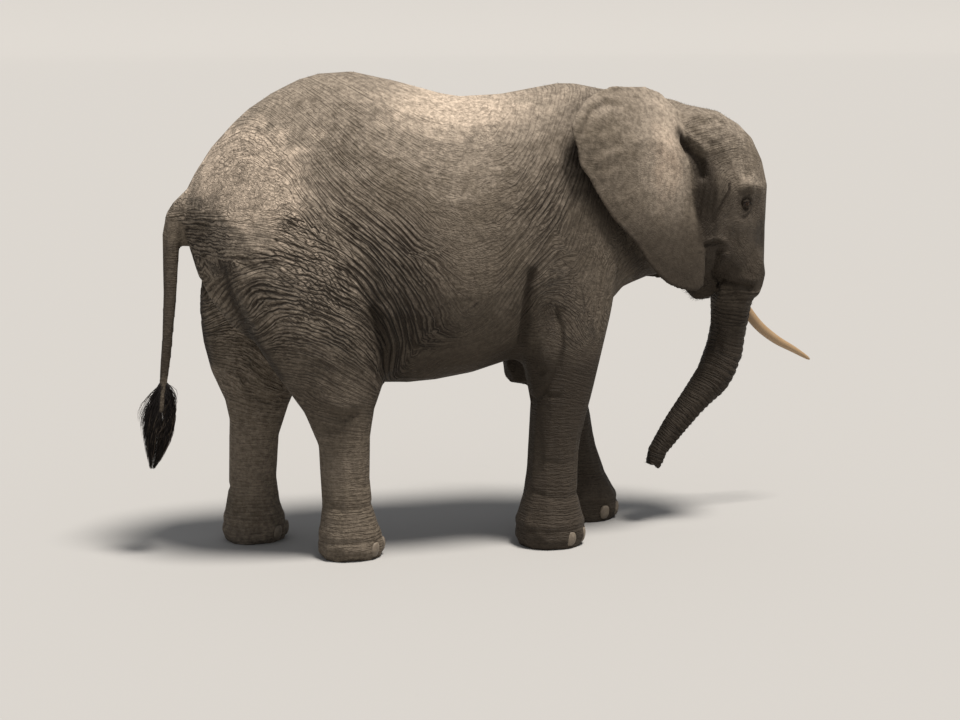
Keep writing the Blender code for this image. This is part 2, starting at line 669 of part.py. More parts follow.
def main():
    clear_scene()
    for name in ("elephant", "cutters"):
        bpy.context.scene.collection.children.link(bpy.data.collections.new(name))
    whole = flesh()
    clear_of_flesh = grown(whole, CUT_GAP)
    shape = bmesh.new()
    shape.from_mesh(whole.data)
    tree = BVHTree.FromBMesh(shape)
    shape.free()
    pieces = part(whole)

    for side in (RIGHT, LEFT):
        centre, ball = eye(side, tree)
        socket = ellipsoid("socket", centre, (EYE_RADIUS + CUT_GAP,) * 3, segments=BALL_SEGMENTS)
        cut(pieces["head"], socket, "DIFFERENCE")
        pieces[ball.name] = ball
        blade = ear(side)
        cut(blade, copied("clearance", clear_of_flesh), "DIFFERENCE")
        pieces[blade.name] = blade
    horn = tusk()
    cut(horn, clear_of_flesh, "DIFFERENCE")
    pieces[horn.name] = horn
    for name in LEGS:
        for nail in nails(name, tree):
            cut(pieces[f"{name}_foot"], grown(nail, CUT_GAP), "DIFFERENCE")
            pieces[nail.name] = nail
    pieces["tail_tuft"] = tuft()

    for name, item in pieces.items():
        item.name = item.data.name = name
        item.data.materials.clear()
        item.data.materials.append(material(name, look_of(name)))
        bpy.context.scene.collection.objects.unlink(item)
        bpy.data.collections["elephant"].objects.link(item)
    place_on_origin(list(pieces.values()))


main()
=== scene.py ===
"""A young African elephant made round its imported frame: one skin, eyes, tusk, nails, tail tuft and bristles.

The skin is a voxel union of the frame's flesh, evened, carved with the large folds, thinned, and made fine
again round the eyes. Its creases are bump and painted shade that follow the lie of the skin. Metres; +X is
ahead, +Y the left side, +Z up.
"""

import math
from functools import partialmethod

import bmesh
import bpy
import numpy as np
from bpy.props import FloatProperty, FloatVectorProperty, IntProperty, PointerProperty
from mathutils import Matrix, Vector, noise
from mathutils.bvhtree import BVHTree


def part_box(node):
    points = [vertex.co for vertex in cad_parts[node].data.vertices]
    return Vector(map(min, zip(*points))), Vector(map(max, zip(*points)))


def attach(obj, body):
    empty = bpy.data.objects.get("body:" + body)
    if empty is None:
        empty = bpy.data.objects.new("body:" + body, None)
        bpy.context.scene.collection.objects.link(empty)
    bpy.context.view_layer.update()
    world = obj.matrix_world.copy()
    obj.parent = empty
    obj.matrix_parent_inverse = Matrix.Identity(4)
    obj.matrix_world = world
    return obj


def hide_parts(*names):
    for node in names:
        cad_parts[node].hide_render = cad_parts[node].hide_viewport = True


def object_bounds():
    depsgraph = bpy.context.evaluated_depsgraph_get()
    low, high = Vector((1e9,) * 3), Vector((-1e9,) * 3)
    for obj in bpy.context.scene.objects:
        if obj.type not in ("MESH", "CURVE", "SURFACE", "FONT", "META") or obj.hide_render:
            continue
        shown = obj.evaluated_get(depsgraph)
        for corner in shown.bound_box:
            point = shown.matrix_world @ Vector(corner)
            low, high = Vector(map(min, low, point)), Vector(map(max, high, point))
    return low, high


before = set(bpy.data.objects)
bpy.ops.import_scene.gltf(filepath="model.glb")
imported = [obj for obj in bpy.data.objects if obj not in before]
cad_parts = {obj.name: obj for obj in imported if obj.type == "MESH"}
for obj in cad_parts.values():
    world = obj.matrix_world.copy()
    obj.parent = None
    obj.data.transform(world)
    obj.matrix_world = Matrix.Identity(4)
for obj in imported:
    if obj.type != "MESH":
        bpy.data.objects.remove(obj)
CAD_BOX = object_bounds()

bl_info = {
    "name": "Young elephant",
    "version": (1, 0, 0),
    "blender": (4, 5, 0),
    "location": "3D View > Sidebar > Elephant",
    "description": "A life-size young African elephant as a still model",
    "category": "Object",
}

# ---------------------------------------------------------------- places on the animal
RIGHT, LEFT = -1, 1  # the sign of Y on each side
SIDES = ((RIGHT, "right"), (LEFT, "left"))
FEET = ("front_right", "front_left", "hind_right", "hind_left")
FLESH = ["head", "lower_jaw", "neck", "chest", "belly", "rump", "tail_root", "tail_tip"]
FLESH += ["trunk_" + part for part in ("root", "middle", "lower", "tip")]
FLESH += [f"{foot}_{part}" for foot in FEET for part in ("upper_leg", "lower_leg", "foot")]
EARS = ["ear_right", "ear_left"]
ZONES = ("body", "head", "trunk", "tail", "ear", "shin", "foot")
ZONE = {name: number for number, name in enumerate(ZONES)}

# How the skin's creases run over the body, seen from its right side:
# x, z, slope in degrees (up towards the head is positive), spacing in mm, depth in mm.
BODY_LIE = (
    (-1.40, 1.80, 40, 20, 2.0), (-1.30, 1.95, 30, 18, 2.4), (-1.15, 1.85, -60, 21, 1.8),
    (-1.00, 1.95, -45, 20, 0.9), (-0.94, 1.63, -56, 24, 3.4), (-1.00, 1.74, -74, 22, 2.4),
    (-0.82, 1.55, -43, 25, 4.2), (-1.20, 1.57, -15, 20, 2.8), (-1.15, 1.70, 82, 24, 2.5),
    (-1.27, 1.74, 74, 24, 2.3), (-1.01, 1.52, -27, 25, 5.1), (-0.99, 1.36, -16, 27, 6.8),
    (-1.13, 1.30, -20, 27, 6.8), (-1.22, 1.34, 20, 25, 3.6), (-1.27, 1.22, 70, 25, 3.4),
    (-1.05, 1.08, -18, 21, 4.2), (-1.15, 1.10, 50, 21, 3.8), (-0.91, 0.94, -33, 20, 3.4),
    (-1.05, 0.92, -5, 20, 2.5), (-0.83, 1.12, -24, 25, 6.0), (-0.85, 1.27, -26, 27, 6.8),
    (-0.78, 0.85, -34, 20, 2.5), (-0.72, 1.02, -42, 21, 3.8), (-0.70, 1.31, -57, 26, 6.8),
    (-0.58, 1.08, -70, 27, 7.6), (-0.47, 1.07, -79, 27, 6.0), (-0.57, 0.94, -96, 25, 6.8),
    (-0.60, 1.72, -28, 21, 2.0), (-0.72, 1.73, -42, 22, 2.8), (-0.60, 1.85, -34, 21, 1.1),
    (-0.66, 1.46, -48, 26, 6.0), (-0.50, 1.30, -60, 25, 4.7), (-0.27, 1.55, -8, 18, 1.1),
    (-0.37, 1.20, -68, 24, 2.2), (-0.20, 1.75, 0, 18, 0.7), (-0.43, 0.91, 60, 24, 1.7),
    (-0.20, 0.95, 20, 24, 1.0), (-0.10, 1.10, 55, 24, 1.7), (-0.20, 1.35, 10, 21, 0.7),
    (-0.05, 1.34, 52, 24, 3.1), (-0.02, 1.48, 50, 24, 3.0), (0.11, 1.61, 54, 24, 4.2),
    (0.02, 1.75, 52, 21, 2.7), (0.17, 1.95, 60, 21, 1.8), (0.26, 1.75, 66, 24, 3.4),
    (0.01, 1.18, 84, 22, 3.0), (0.08, 1.28, 44, 21, 3.4), (0.13, 1.22, 5, 18, 3.4),
    (0.20, 1.16, -42, 18, 3.6), (0.24, 1.05, -68, 18, 3.0), (0.12, 1.07, -6, 20, 2.5),
    (0.12, 0.90, -10, 20, 1.3), (0.05, 0.78, 10, 18, 1.7), (0.30, 1.51, 80, 24, 2.0),
    (0.34, 1.25, 88, 24, 1.4), (0.33, 0.85, -20, 21, 1.2), (0.45, 1.70, 78, 21, 2.5),
    (0.62, 1.90, 80, 20, 2.5), (0.50, 1.30, 40, 21, 2.5), (0.30, 0.45, 2, 20, 1.4),
    (-0.80, 0.45, 0, 20, 1.4), (-0.80, 0.68, -12, 18, 2.2), (0.25, 0.20, 0, 17, 2.0),
    (-0.75, 0.20, 0, 17, 2.0), (-1.36, 1.50, -4, 18, 4.2), (-1.35, 1.05, 75, 21, 2.5),
)
# The same over the head.
HEAD_LIE = (
    (0.86, 2.02, 20, 21, 1.5), (0.98, 1.98, 5, 18, 1.6), (1.05, 1.90, 10, 14, 1.5),
    (0.96, 1.83, 8, 16, 1.7), (1.10, 1.96, -10, 19, 1.0), (1.20, 1.88, -30, 21, 0.7),
    (1.28, 1.75, -60, 21, 0.6), (1.12, 1.76, 0, 19, 0.6), (0.95, 1.70, 86, 19, 1.8),
    (0.94, 1.55, 84, 19, 1.8), (1.02, 1.60, 66, 18, 1.0), (0.90, 1.62, 84, 18, 1.5),
    (1.00, 1.45, 70, 16, 1.1), (1.15, 1.66, 10, 16, 0.7), (1.14, 1.48, 25, 14, 1.2),
    (1.20, 1.51, 45, 13, 1.0), (1.08, 1.43, -60, 14, 1.1), (1.11, 1.37, -64, 14, 1.1),
    (1.17, 1.40, -80, 16, 0.8), (1.20, 1.25, -86, 16, 0.7), (1.02, 1.40, 0, 11, 1.7),
    (0.98, 1.30, 20, 19, 1.0), (1.28, 1.50, 2, 18, 1.1), (1.28, 1.38, 2, 18, 1.2),
    (1.28, 1.28, 2, 18, 1.3), (1.00, 1.18, 10, 19, 1.0), (0.90, 1.30, 30, 19, 1.0),
)
# Grooves and mounds of the skin, in mm of the side view. A groove has its zones, width, depth, the height and
# width of the lip on its left, and its path; a mound has its zones, centre, radii and height.
FAR = {"sides": (LEFT,), "legs": False}
BODY_FOLDS = (
    ("body", 22, 20, 10, 30, ((-700, 1190), (-650, 1040), (-622, 930), (-622, 850))),
    ("body", 24, 22, 10, 30, ((35, 1340), (12, 1246), (6, 1158), (12, 1058), (25, 940))),
    ("body", 20, 6, 0, 0, ((-96, 1148), (-60, 1068), (-84, 957))),
    ("body shin", 13, 13, -5, 14, ((160, 1148), (190, 1046), (198, 956), (179, 856), (145, 778),
     (93, 702), (50, 690))),
    ("body shin", (110, 940), (60, 110), 10),
    ("body shin", (106, 838), (20, 16), -12),
    ("body", 10, 5, 0, 0, ((126, 1088), (72, 1007), (63, 906), (104, 831))),
    ("body shin", 12, 6, 0, 0, ((80, 760), (150, 720), (210, 730))),
    # the hook at the top of the thigh's rear edge
    ("body", 20, 14, 8, 30, ((-1330, 1345), (-1300, 1250), (-1262, 1150), (-1210, 1040))),
    ("body", 14, 6, 0, 0, ((-1300, 1420), (-1250, 1372), (-1180, 1345))),
    # hanging skin over the hind knee, with its fold below
    ("body shin", 18, 12, 10, 30, ((-985, 840), (-940, 740), (-890, 690), (-820, 668), (-730, 700))),
    ("body shin", (-830, 760), (110, 70), 10),
    ("shin body", 12, 4, 0, 0, ((-950, 640), (-870, 600), (-790, 590))),
    # wrist and ankle
    ("shin", 14, 3, 0, 0, ((100, 420), (200, 400), (300, 410))),
    ("shin foot", 14, 5, 0, 0, ((60, 270), (180, 235), (300, 240), (380, 262))),
    ("shin foot", 14, 5, 0, 0, ((-930, 270), (-820, 235), (-700, 240), (-620, 262))),
    # the far leg's folds and the skin hanging over its knee
    ("body shin", 13, 14, 14, 34, ((-1247, 880), (-1192, 765), (-1148, 703), (-1080, 674), (-987, 716)),
     {**FAR, "facing": -1}),
    ("body shin", 16, 10, 5, 20, ((-1412, 1445), (-1394, 1312), (-1348, 1143), (-1323, 1030)),
     {**FAR, "facing": 0}),
    ("body shin", 16, 9, 5, 20, ((-1330, 1250), (-1290, 1120), (-1250, 1000), (-1215, 900)),
     {**FAR, "facing": -1}),
    # the pit under the tail's root
    ("body tail", (-1418, 1490), (30, 45), -20),
)
EAR_FOLDS = (
    # the rim folds over at the top and rear
    ("ear", 14, 6, 7, 16, ((262, 1900), (290, 1965), (345, 2030), (430, 2052), (520, 2036))),
    ("ear", 16, 3, 3, 18, ((480, 1960), (400, 1950), (320, 1915))),
    ("ear", 16, 4, 3, 18, ((500, 1880), (400, 1860), (290, 1825))),
    ("ear", 16, 4, 3, 18, ((470, 1800), (380, 1768), (300, 1755))),
    ("ear", 18, 3, 3, 18, ((560, 1700), (470, 1660), (390, 1650))),
    # the thick front edge, with the ridge inside it
    ("ear", 12, 12, 0, 0, ((800, 1930), (850, 1830), (895, 1720), (915, 1620))),
    ("ear", 9, -8, 0, 0, ((835, 1790), (878, 1711), (893, 1630), (900, 1520))),
)
# The same, from the middle of the eye.
HEAD_FOLDS = (
    # temple hollow and the ridge of skin over the ear's root
    ("head", (-130, 190), (100, 75), -16),
    ("head", 16, -8, 0, 0, ((-330, 350), (-245, 278), (-200, 235))),
    ("head ear body", 22, 28, 0, 0, ((-350, 330), (-300, 260), (-245, 190), (-230, 100))),
    ("head", 14, 7, 5, 14, ((-215, 275), (-140, 280), (-90, 325))),
    ("head", 16, 5, 4, 16, ((-250, 372), (-150, 385), (-60, 350))),
    ("head", 14, 3, 0, 0, ((-160, 420), (-80, 400), (-20, 370))),
    # upright folds behind the gland
    ("head", 9, 6, 3, 10, ((-176, 165), (-180, 60), (-194, -60))),
    ("head", 9, 6, 3, 10, ((-204, 165), (-208, 60), (-222, -60))),
    ("head", 9, 6, 3, 10, ((-230, 165), (-234, 60), (-248, -60))),
    # the gland's streak
    ("head", 7, 7, 3, 10, ((-99, 106), (-101, 60), (-129, 14), (-160, -47), (-188, -115))),
    # brow ridge over a shaded band, and the pouches under the eye
    ("head", 22, -12, 0, 0, ((-70, 62), (-20, 82), (50, 78))),
    ("head", 13, 7, 0, 0, ((-40, 36), (0, 48), (45, 40))),
    ("head", 7, 5, 4, 10, ((-45, -62), (-7, -71), (26, -48), (42, -25))),
    ("head", 6, 3, 0, 0, ((-60, -30), (-40, -55), (-20, -50))),
    ("head", (-15, -105), (70, 35), 6),
    ("head", (60, 0), (30, 60), -6),
    ("head", 7, 3, 2, 8, ((-95, -110), (-85, -165), (-73, -215))),
    ("head", 7, 3, 2, 8, ((-76, -110), (-66, -165), (-54, -215))),
    ("head", 7, 3, 2, 8, ((-58, -110), (-48, -165), (-36, -215))),
    # the corner of the mouth with its fold, and the lip's edge down to the tusk's sheath
    ("head", 9, 12, 8, 12, ((-225, -196), (-187, -184), (-150, -180), (-108, -200)), {"fade": 0.02}),
    ("head", (-132, -224), (16, 14), -16),
    ("head trunk", 11, 20, 9, 22, ((-132, -220), (-133, -280), (-127, -325), (-108, -357), (-66, -382),
     (2, -400), (66, -408)), {"fade": 0.02}),
)
# Painted shade along the folds, the thigh's rear edge and round the ear, where it falls on the neck and at the
# ear's root: zones, half width in mm, darkness and path.
SHADES = (
    ("body", 20, 0.62, ((40, 1360), (15, 1246), (9, 1158), (17, 1058), (27, 900))),
    ("body shin", 10, 0.28, ((160, 1148), (190, 1046), (198, 956), (179, 856), (145, 778), (93, 702))),
    ("body shin", 26, 0.5, ((-1335, 1370), (-1302, 1250), (-1262, 1150), (-1210, 1040), (-1155, 950),
     (-1100, 860))),
    ("body shin", 9, 0.6, ((-1335, 1370), (-1302, 1250), (-1262, 1150), (-1210, 1040), (-1155, 950),
     (-1100, 860))),
    ("body", 30, 0.35, ((-700, 1190), (-650, 1040), (-622, 930), (-618, 850))),
    ("body", 16, 0.44, ((470, 2100), (360, 2075), (280, 2020), (246, 1950), (246, 1860))),
    ("body", 56, 0.68, ((270, 1860), (300, 1740), (370, 1610), (460, 1480), (560, 1360), (680, 1240),
     (860, 1160))),
    ("ear head", 26, 0.9, ((790, 1925), (840, 1840), (900, 1755), (919, 1680), (926, 1560), (930, 1420))),
    ("head body", 34, 0.9, ((905, 1760), (930, 1680), (945, 1560), (950, 1420), (950, 1280))),
)
# The gland's streak, and the mouth's line along which shade is painted, in metres from the middle of the eye.
STREAK = ((-0.099, 0.106), (-0.101, 0.060), (-0.129, 0.014), (-0.160, -0.047), (-0.190, -0.125),
          (-0.205, -0.190))
MOUTH = ((-0.132, -0.220), (-0.133, -0.280), (-0.127, -0.325), (-0.108, -0.357), (-0.066, -0.382))
# Spots of dust, with painted light on the brow, of painted shade, of crossing furrows and of the fine net: the
# field, a zone or none, place, half sizes and strength.
SPOTS = (
    ("dust", "", -0.45, 1.80, 0.40, 0.16, 0.25), ("dust", "", -1.30, 1.75, 0.12, 0.25, 0.22),
    ("dust", "", -1.00, 1.36, 0.24, 0.20, 0.94), ("dust", "", -0.30, 2.04, 0.36, 0.12, 1.02),
    # the second spot on the next line, on the brow, is painted light where the brow ridge is lit
    ("dust", "", 0.25, 2.08, 0.30, 0.10, 0.25), ("dust", "head", 1.16, 1.69, 0.08, 0.035, 0.40),
    # the dark spots are painted shade on the belly, flank, side, chest, temple, neck behind the ear and under
    # the tail's root; the thigh's negative one takes painted shade away
    ("dark", "", -0.35, 1.02, 0.38, 0.26, 0.24), ("dark", "", -0.60, 1.28, 0.20, 0.30, 0.42),
    ("dark", "", -0.25, 1.45, 0.25, 0.20, 0.10), ("dark", "", 0.12, 1.15, 0.18, 0.25, 0.15),
    ("dark", "", -0.98, 1.34, 0.28, 0.28, -0.44), ("dark", "head", 0.95, 1.72, 0.07, 0.10, 0.55),
    ("dark", "", 0.20, 1.55, 0.25, 0.32, 0.42), ("dark", "", -1.42, 1.47, 0.05, 0.10, 0.35),
    ("crossing", "", -1.05, 1.42, 0.26, 0.24, 0.40), ("crossing", "", -1.22, 1.78, 0.30, 0.25, 0.55),
    ("crossing", "", -0.95, 1.22, 0.20, 0.20, 0.25), ("crossing", "", 0.10, 1.65, 0.25, 0.30, 0.20),
    ("crossing", "", 0.14, 1.10, 0.12, 0.16, 0.40), ("crossing", "", -0.25, 1.55, 0.35, 0.35, 0.35),
    ("net", "", -1.15, 1.80, 0.35, 0.25, 0.0012),
)

LIE_LOW, LIE_STEP, LIE_SIZE = (-1.75, 0.0), 0.025, (125, 92)
LIE_REACH = 0.05  # how far a row of the tables above holds on its own
LIE_HOLD = 40  # how much the creases' slope counts above their spacing
LIE_FINER = 0.25  # octaves by which the creases are finer than the tables say
LIE_NEAR, LIE_LOOSE = 0.14, 0.03  # beyond this distance from any row the slope counts this much
CELL_STRETCH = 5.5  # a pad between creases is this many times longer than it is wide
LAY_ASIDE = 0.16  # metres of Y that count as one pad

# Middle line of the trunk and of the tail: x, z.
TRUNK_LINE = ((1.172, 1.240), (1.166, 1.100), (1.152, 0.960), (1.117, 0.830), (1.052, 0.700), (0.962, 0.580),
              (0.872, 0.470), (0.797, 0.360), (0.770, 0.275))
TAIL_LINE = ((-1.428, 1.620), (-1.498, 1.570), (-1.530, 1.470), (-1.538, 1.300), (-1.550, 1.120),
             (-1.566, 0.950), (-1.582, 0.820), (-1.590, 0.700))
# The tusk from inside the lip to its tip: x, y, z and radius.
TUSK_LINE = (
    (1.215, 0.126, 1.145, 0.0265), (1.240, 0.132, 1.108, 0.0265), (1.302, 0.145, 1.020, 0.0260),
    (1.382, 0.163, 0.930, 0.0250), (1.482, 0.185, 0.855, 0.0220), (1.592, 0.213, 0.795, 0.0165),
    (1.667, 0.233, 0.752, 0.0105), (1.690, 0.2385, 0.738, 0.0060), (1.6955, 0.240, 0.7335, 0.0022),
)
# How far each left leg stands from its right one, along X, at these heights.
LEG_SHIFT_Z = (0.12, 0.50, 0.82, 1.40)
HIND_SHIFT, FRONT_SHIFT = (0.38, 0.35, 0.265, 0.02), (-0.315, -0.20, -0.05, 0.0)

# The middle of each eyeball.
EYE = {side: sum(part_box("eye_" + word), Vector()) / 2 for side, word in SIDES}
EYE_RADIUS = (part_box("eye_right")[1].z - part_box("eye_right")[0].z) / 2
EYE_BEARING = math.radians(8)  # how far the eyes look ahead
EYE_DROP = -0.10  # how far they look down
PUPIL, IRIS = (0.0030, 0.0038), (0.0082, 0.0098)  # radii between which each one's edge fades
CORNEA, CORNEA_WIDE = 0.0011, 0.0075  # how far the cornea stands out, and its half width
LID_LONG = 0.0182  # half the length of the opening between the lids
LID_UPPER, LID_LOWER = 0.0104 * 1.12, 0.0104 * 0.88  # how far each lid stands from the middle of the opening
LID_THICK = 0.0026
LID_POWER = 1.7  # 2 would make the opening an oval, and 1 a diamond
BEAD = 0.0062  # radius of the ears' rims
BEAD_ROWS, BEAD_GAP = 7, 1.25  # rows of beads from a rim inwards, and their distance in radii
RIM_ANGLE = 1.4  # an edge turns at least this much where it is an ear's rim
FINER = (0.075, 0.055, 0.042)  # within each of these distances from an eye the skin is split once more
FACING = -0.15  # a stroke holds where the skin's normal has at least this share towards its side
EVENING = (0.5, -0.53)  # shares by which a pair of steps moves a point to its neighbours' mean and back
GROW, EAR_GROW = 0.0010, 0.0026  # how far the faces of the flesh and of the thin ears are moved out
EAR_LOWER = 0.085  # how far the left ear's upper edge hangs below the right one's
TAIL_END = (Vector((-1.5835, 0, 0.820)), Vector((-1.5970, 0, 0.682)))
TRUNK_RING, TRUNK_DEPTH = 0.024, 0.0034  # spacing and depth of the creases round the trunk
TAIL_RING, TAIL_DEPTH = 0.013, 0.0020  # the same round the tail
TUFT_HAIRS, TUFT_TIP = 1700, -1.643  # hairs of the tail's tuft, and where along X its tip hangs
LASHES, BRISTLES = 26, 2000  # lashes of each eye, and bristles
BRISTLE_LEAN = Vector((-0.6, 0, -0.4))  # the way the bristles lie: back and down
HAIR = 0.00042  # radius of a lash or bristle at its root
PATCH = 0.003  # size of a hair's patch of the unwrap
HAIR_SIDES, HAIR_TAPER = 3, 0.82  # sides of a hair, and the share of its radius lost at its tip
MELT = 0.16  # how softly furrows that cross run into each other
FLOOR = 120  # half the width of the studio's floor


# ---------------------------------------------------------------- meshes as arrays
def read(items, key, width=3, kind=np.float32):
    """One row of values for each vertex, edge, face or corner."""
    values = np.empty(len(items) * width, kind)
    items.foreach_get(key, values)
    return values.reshape(-1, width).astype(float) if kind is np.float32 else values.reshape(-1, width)


def points_of(mesh):
    return read(mesh.vertices, "co")


def set_points(mesh, points):
    mesh.vertices.foreach_set("co", points.astype(np.float32).ravel())
    mesh.update()


def normals_of(mesh):
    return read(mesh.vertex_normals, "vector")


def beside(mesh):
    """Every edge of a mesh in both directions, and how many each vertex has."""
    a, b = read(mesh.edges, "vertices", 2, np.int32).T
    tip, tail = np.concatenate([a, b]), np.concatenate([b, a])
    return tip, tail, np.bincount(tip, minlength=len(mesh.vertices))


def averaged(values, links):
    """Each vertex's values become the mean of its neighbours'."""
    tip, tail, degree = links
    if values.ndim == 1:
        return np.bincount(tip, values[tail], len(values)) / degree
    return np.stack([averaged(column, links) for column in values.T], 1)


def evened(points, links, rounds, share):
    """Smooths in pairs of steps, in and out, so that a form keeps its size."""
    for _ in range(rounds):
        for step in EVENING:
            points = points + step * share[:, None] * (averaged(points, links) - points)
    return points


def ramp(value, low, high):
    """0 below low and 1 above high, with a smooth step between."""
    t = np.clip((value - low) / (high - low), 0, 1)
    return t * t * (3 - 2 * t)


def bell(distance, width):
    return np.exp(-((distance / width) ** 2))


def along_path(points, path):
    """Distance from each point to a line of points, its sign on the left of the line, and the length run."""
    points, path = np.asarray(points, float), np.asarray(path, float)
    best = np.full(len(points), np.inf)
    signed, run = np.zeros(len(points)), np.zeros(len(points))
    walked = 0.0
    for start, stop in zip(path, path[1:]):
        step = stop - start
        length = np.linalg.norm(step)
        t = np.clip(((points - start) @ step) / length**2, 0, 1)
        off = points - start - t[:, None] * step
        distance = np.linalg.norm(off, axis=1)
        near = distance < best
        best[near] = distance[near]
        side = np.sign(step[0] * off[:, 1] - step[1] * off[:, 0])
        signed[near] = (side * distance)[near]
        run[near] = (walked + t * length)[near]
        walked += length
    return best, signed, run


def faded_ends(run, path, fade):
    """1 along a path and 0 at its ends."""
    total = np.linalg.norm(np.diff(np.asarray(path, float), axis=0), axis=1).sum()
    return ramp(run, -1e-6, fade) * ramp(total - run, -1e-6, fade)


def linked(name, data):
    """A new object in the scene."""
    made = bpy.data.objects.new(name, data)
    bpy.context.scene.collection.objects.link(made)
    return made


def mesh_piece(name, shape):
    """A new object from a bmesh, at the origin."""
    mesh = bpy.data.meshes.new(name)
    shape.to_mesh(mesh)
    shape.free()
    return linked(name, mesh)


def applied(piece):
    """Replaces a piece's mesh by what its modifiers make."""
    graph = bpy.context.evaluated_depsgraph_get()
    mesh = bpy.data.meshes.new_from_object(piece.evaluated_get(graph))
    piece.modifiers.clear()
    piece.data = mesh
    return piece


def merged_copy(nodes, grow=0.0):
    """Copies of CAD nodes in one bmesh, each closed up and moved out by a small distance."""
    whole = bmesh.new()
    for node in nodes:
        part = bmesh.new()
        part.from_mesh(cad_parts[node].data)
        bmesh.ops.remove_doubles(part, verts=part.verts, dist=1e-5)
        bmesh.ops.recalc_face_normals(part, faces=part.faces)
        part.normal_update()
        if node in EARS:
            bead(whole, part)
        for vertex in part.verts:
            vertex.co += (EAR_GROW if node in EARS else grow) * vertex.normal
        copy = bpy.data.meshes.new("copy")
        part.to_mesh(copy)
        part.free()
        whole.from_mesh(copy)
        bpy.data.meshes.remove(copy)
    return whole


def bead(whole, part):
    """Round beads along the sharp rim of an ear and just inside it, to give the skin a thickness there."""
    for edge in part.edges:
        if edge.calc_face_angle(0.0) < RIM_ANGLE:
            continue
        start, end = (vertex.co for vertex in edge.verts)
        along = (end - start).normalized()
        inward = Vector()
        for face in edge.link_faces:
            away = face.calc_center_median() - start
            inward += (away - away.dot(along) * along).normalized()
        inward.normalize()
        turn = along.to_track_quat("Z", "Y").to_matrix().to_4x4()
        for row in range(BEAD_ROWS):
            aside = (0.5 + BEAD_GAP * row) * BEAD * inward
            place = Matrix.Translation((start + end) / 2 + aside) @ turn
            bmesh.ops.create_cone(whole, cap_ends=True, segments=10, radius1=BEAD, radius2=BEAD,
                                  depth=(end - start).length, matrix=place)
            for corner in (start, end):
                bmesh.ops.create_icosphere(whole, subdivisions=1, radius=BEAD,
                                           matrix=Matrix.Translation(corner + aside))


def tail_end(whole):
    """The bare end of the tail, which reaches down into the tuft."""
    top, low = TAIL_END
    turn = (top - low).to_track_quat("Z", "Y").to_matrix().to_4x4()
    bmesh.ops.create_cone(whole, cap_ends=True, segments=16, radius1=0.0145, radius2=0.0155,
                          depth=(top - low).length, matrix=Matrix.Translation((top + low) / 2) @ turn)
    bmesh.ops.create_icosphere(whole, subdivisions=2, radius=0.0145, matrix=Matrix.Translation(low))


def set_attribute(mesh, name, values, domain="POINT"):
    """Stores numbers or vectors under a name that a material reads."""
    values = np.asarray(values, np.float32)
    kind, key = ("FLOAT", "value") if values.ndim == 1 else ("FLOAT_VECTOR", "vector")
    mesh.attributes.new(name, kind, domain).data.foreach_set(key, values.ravel())


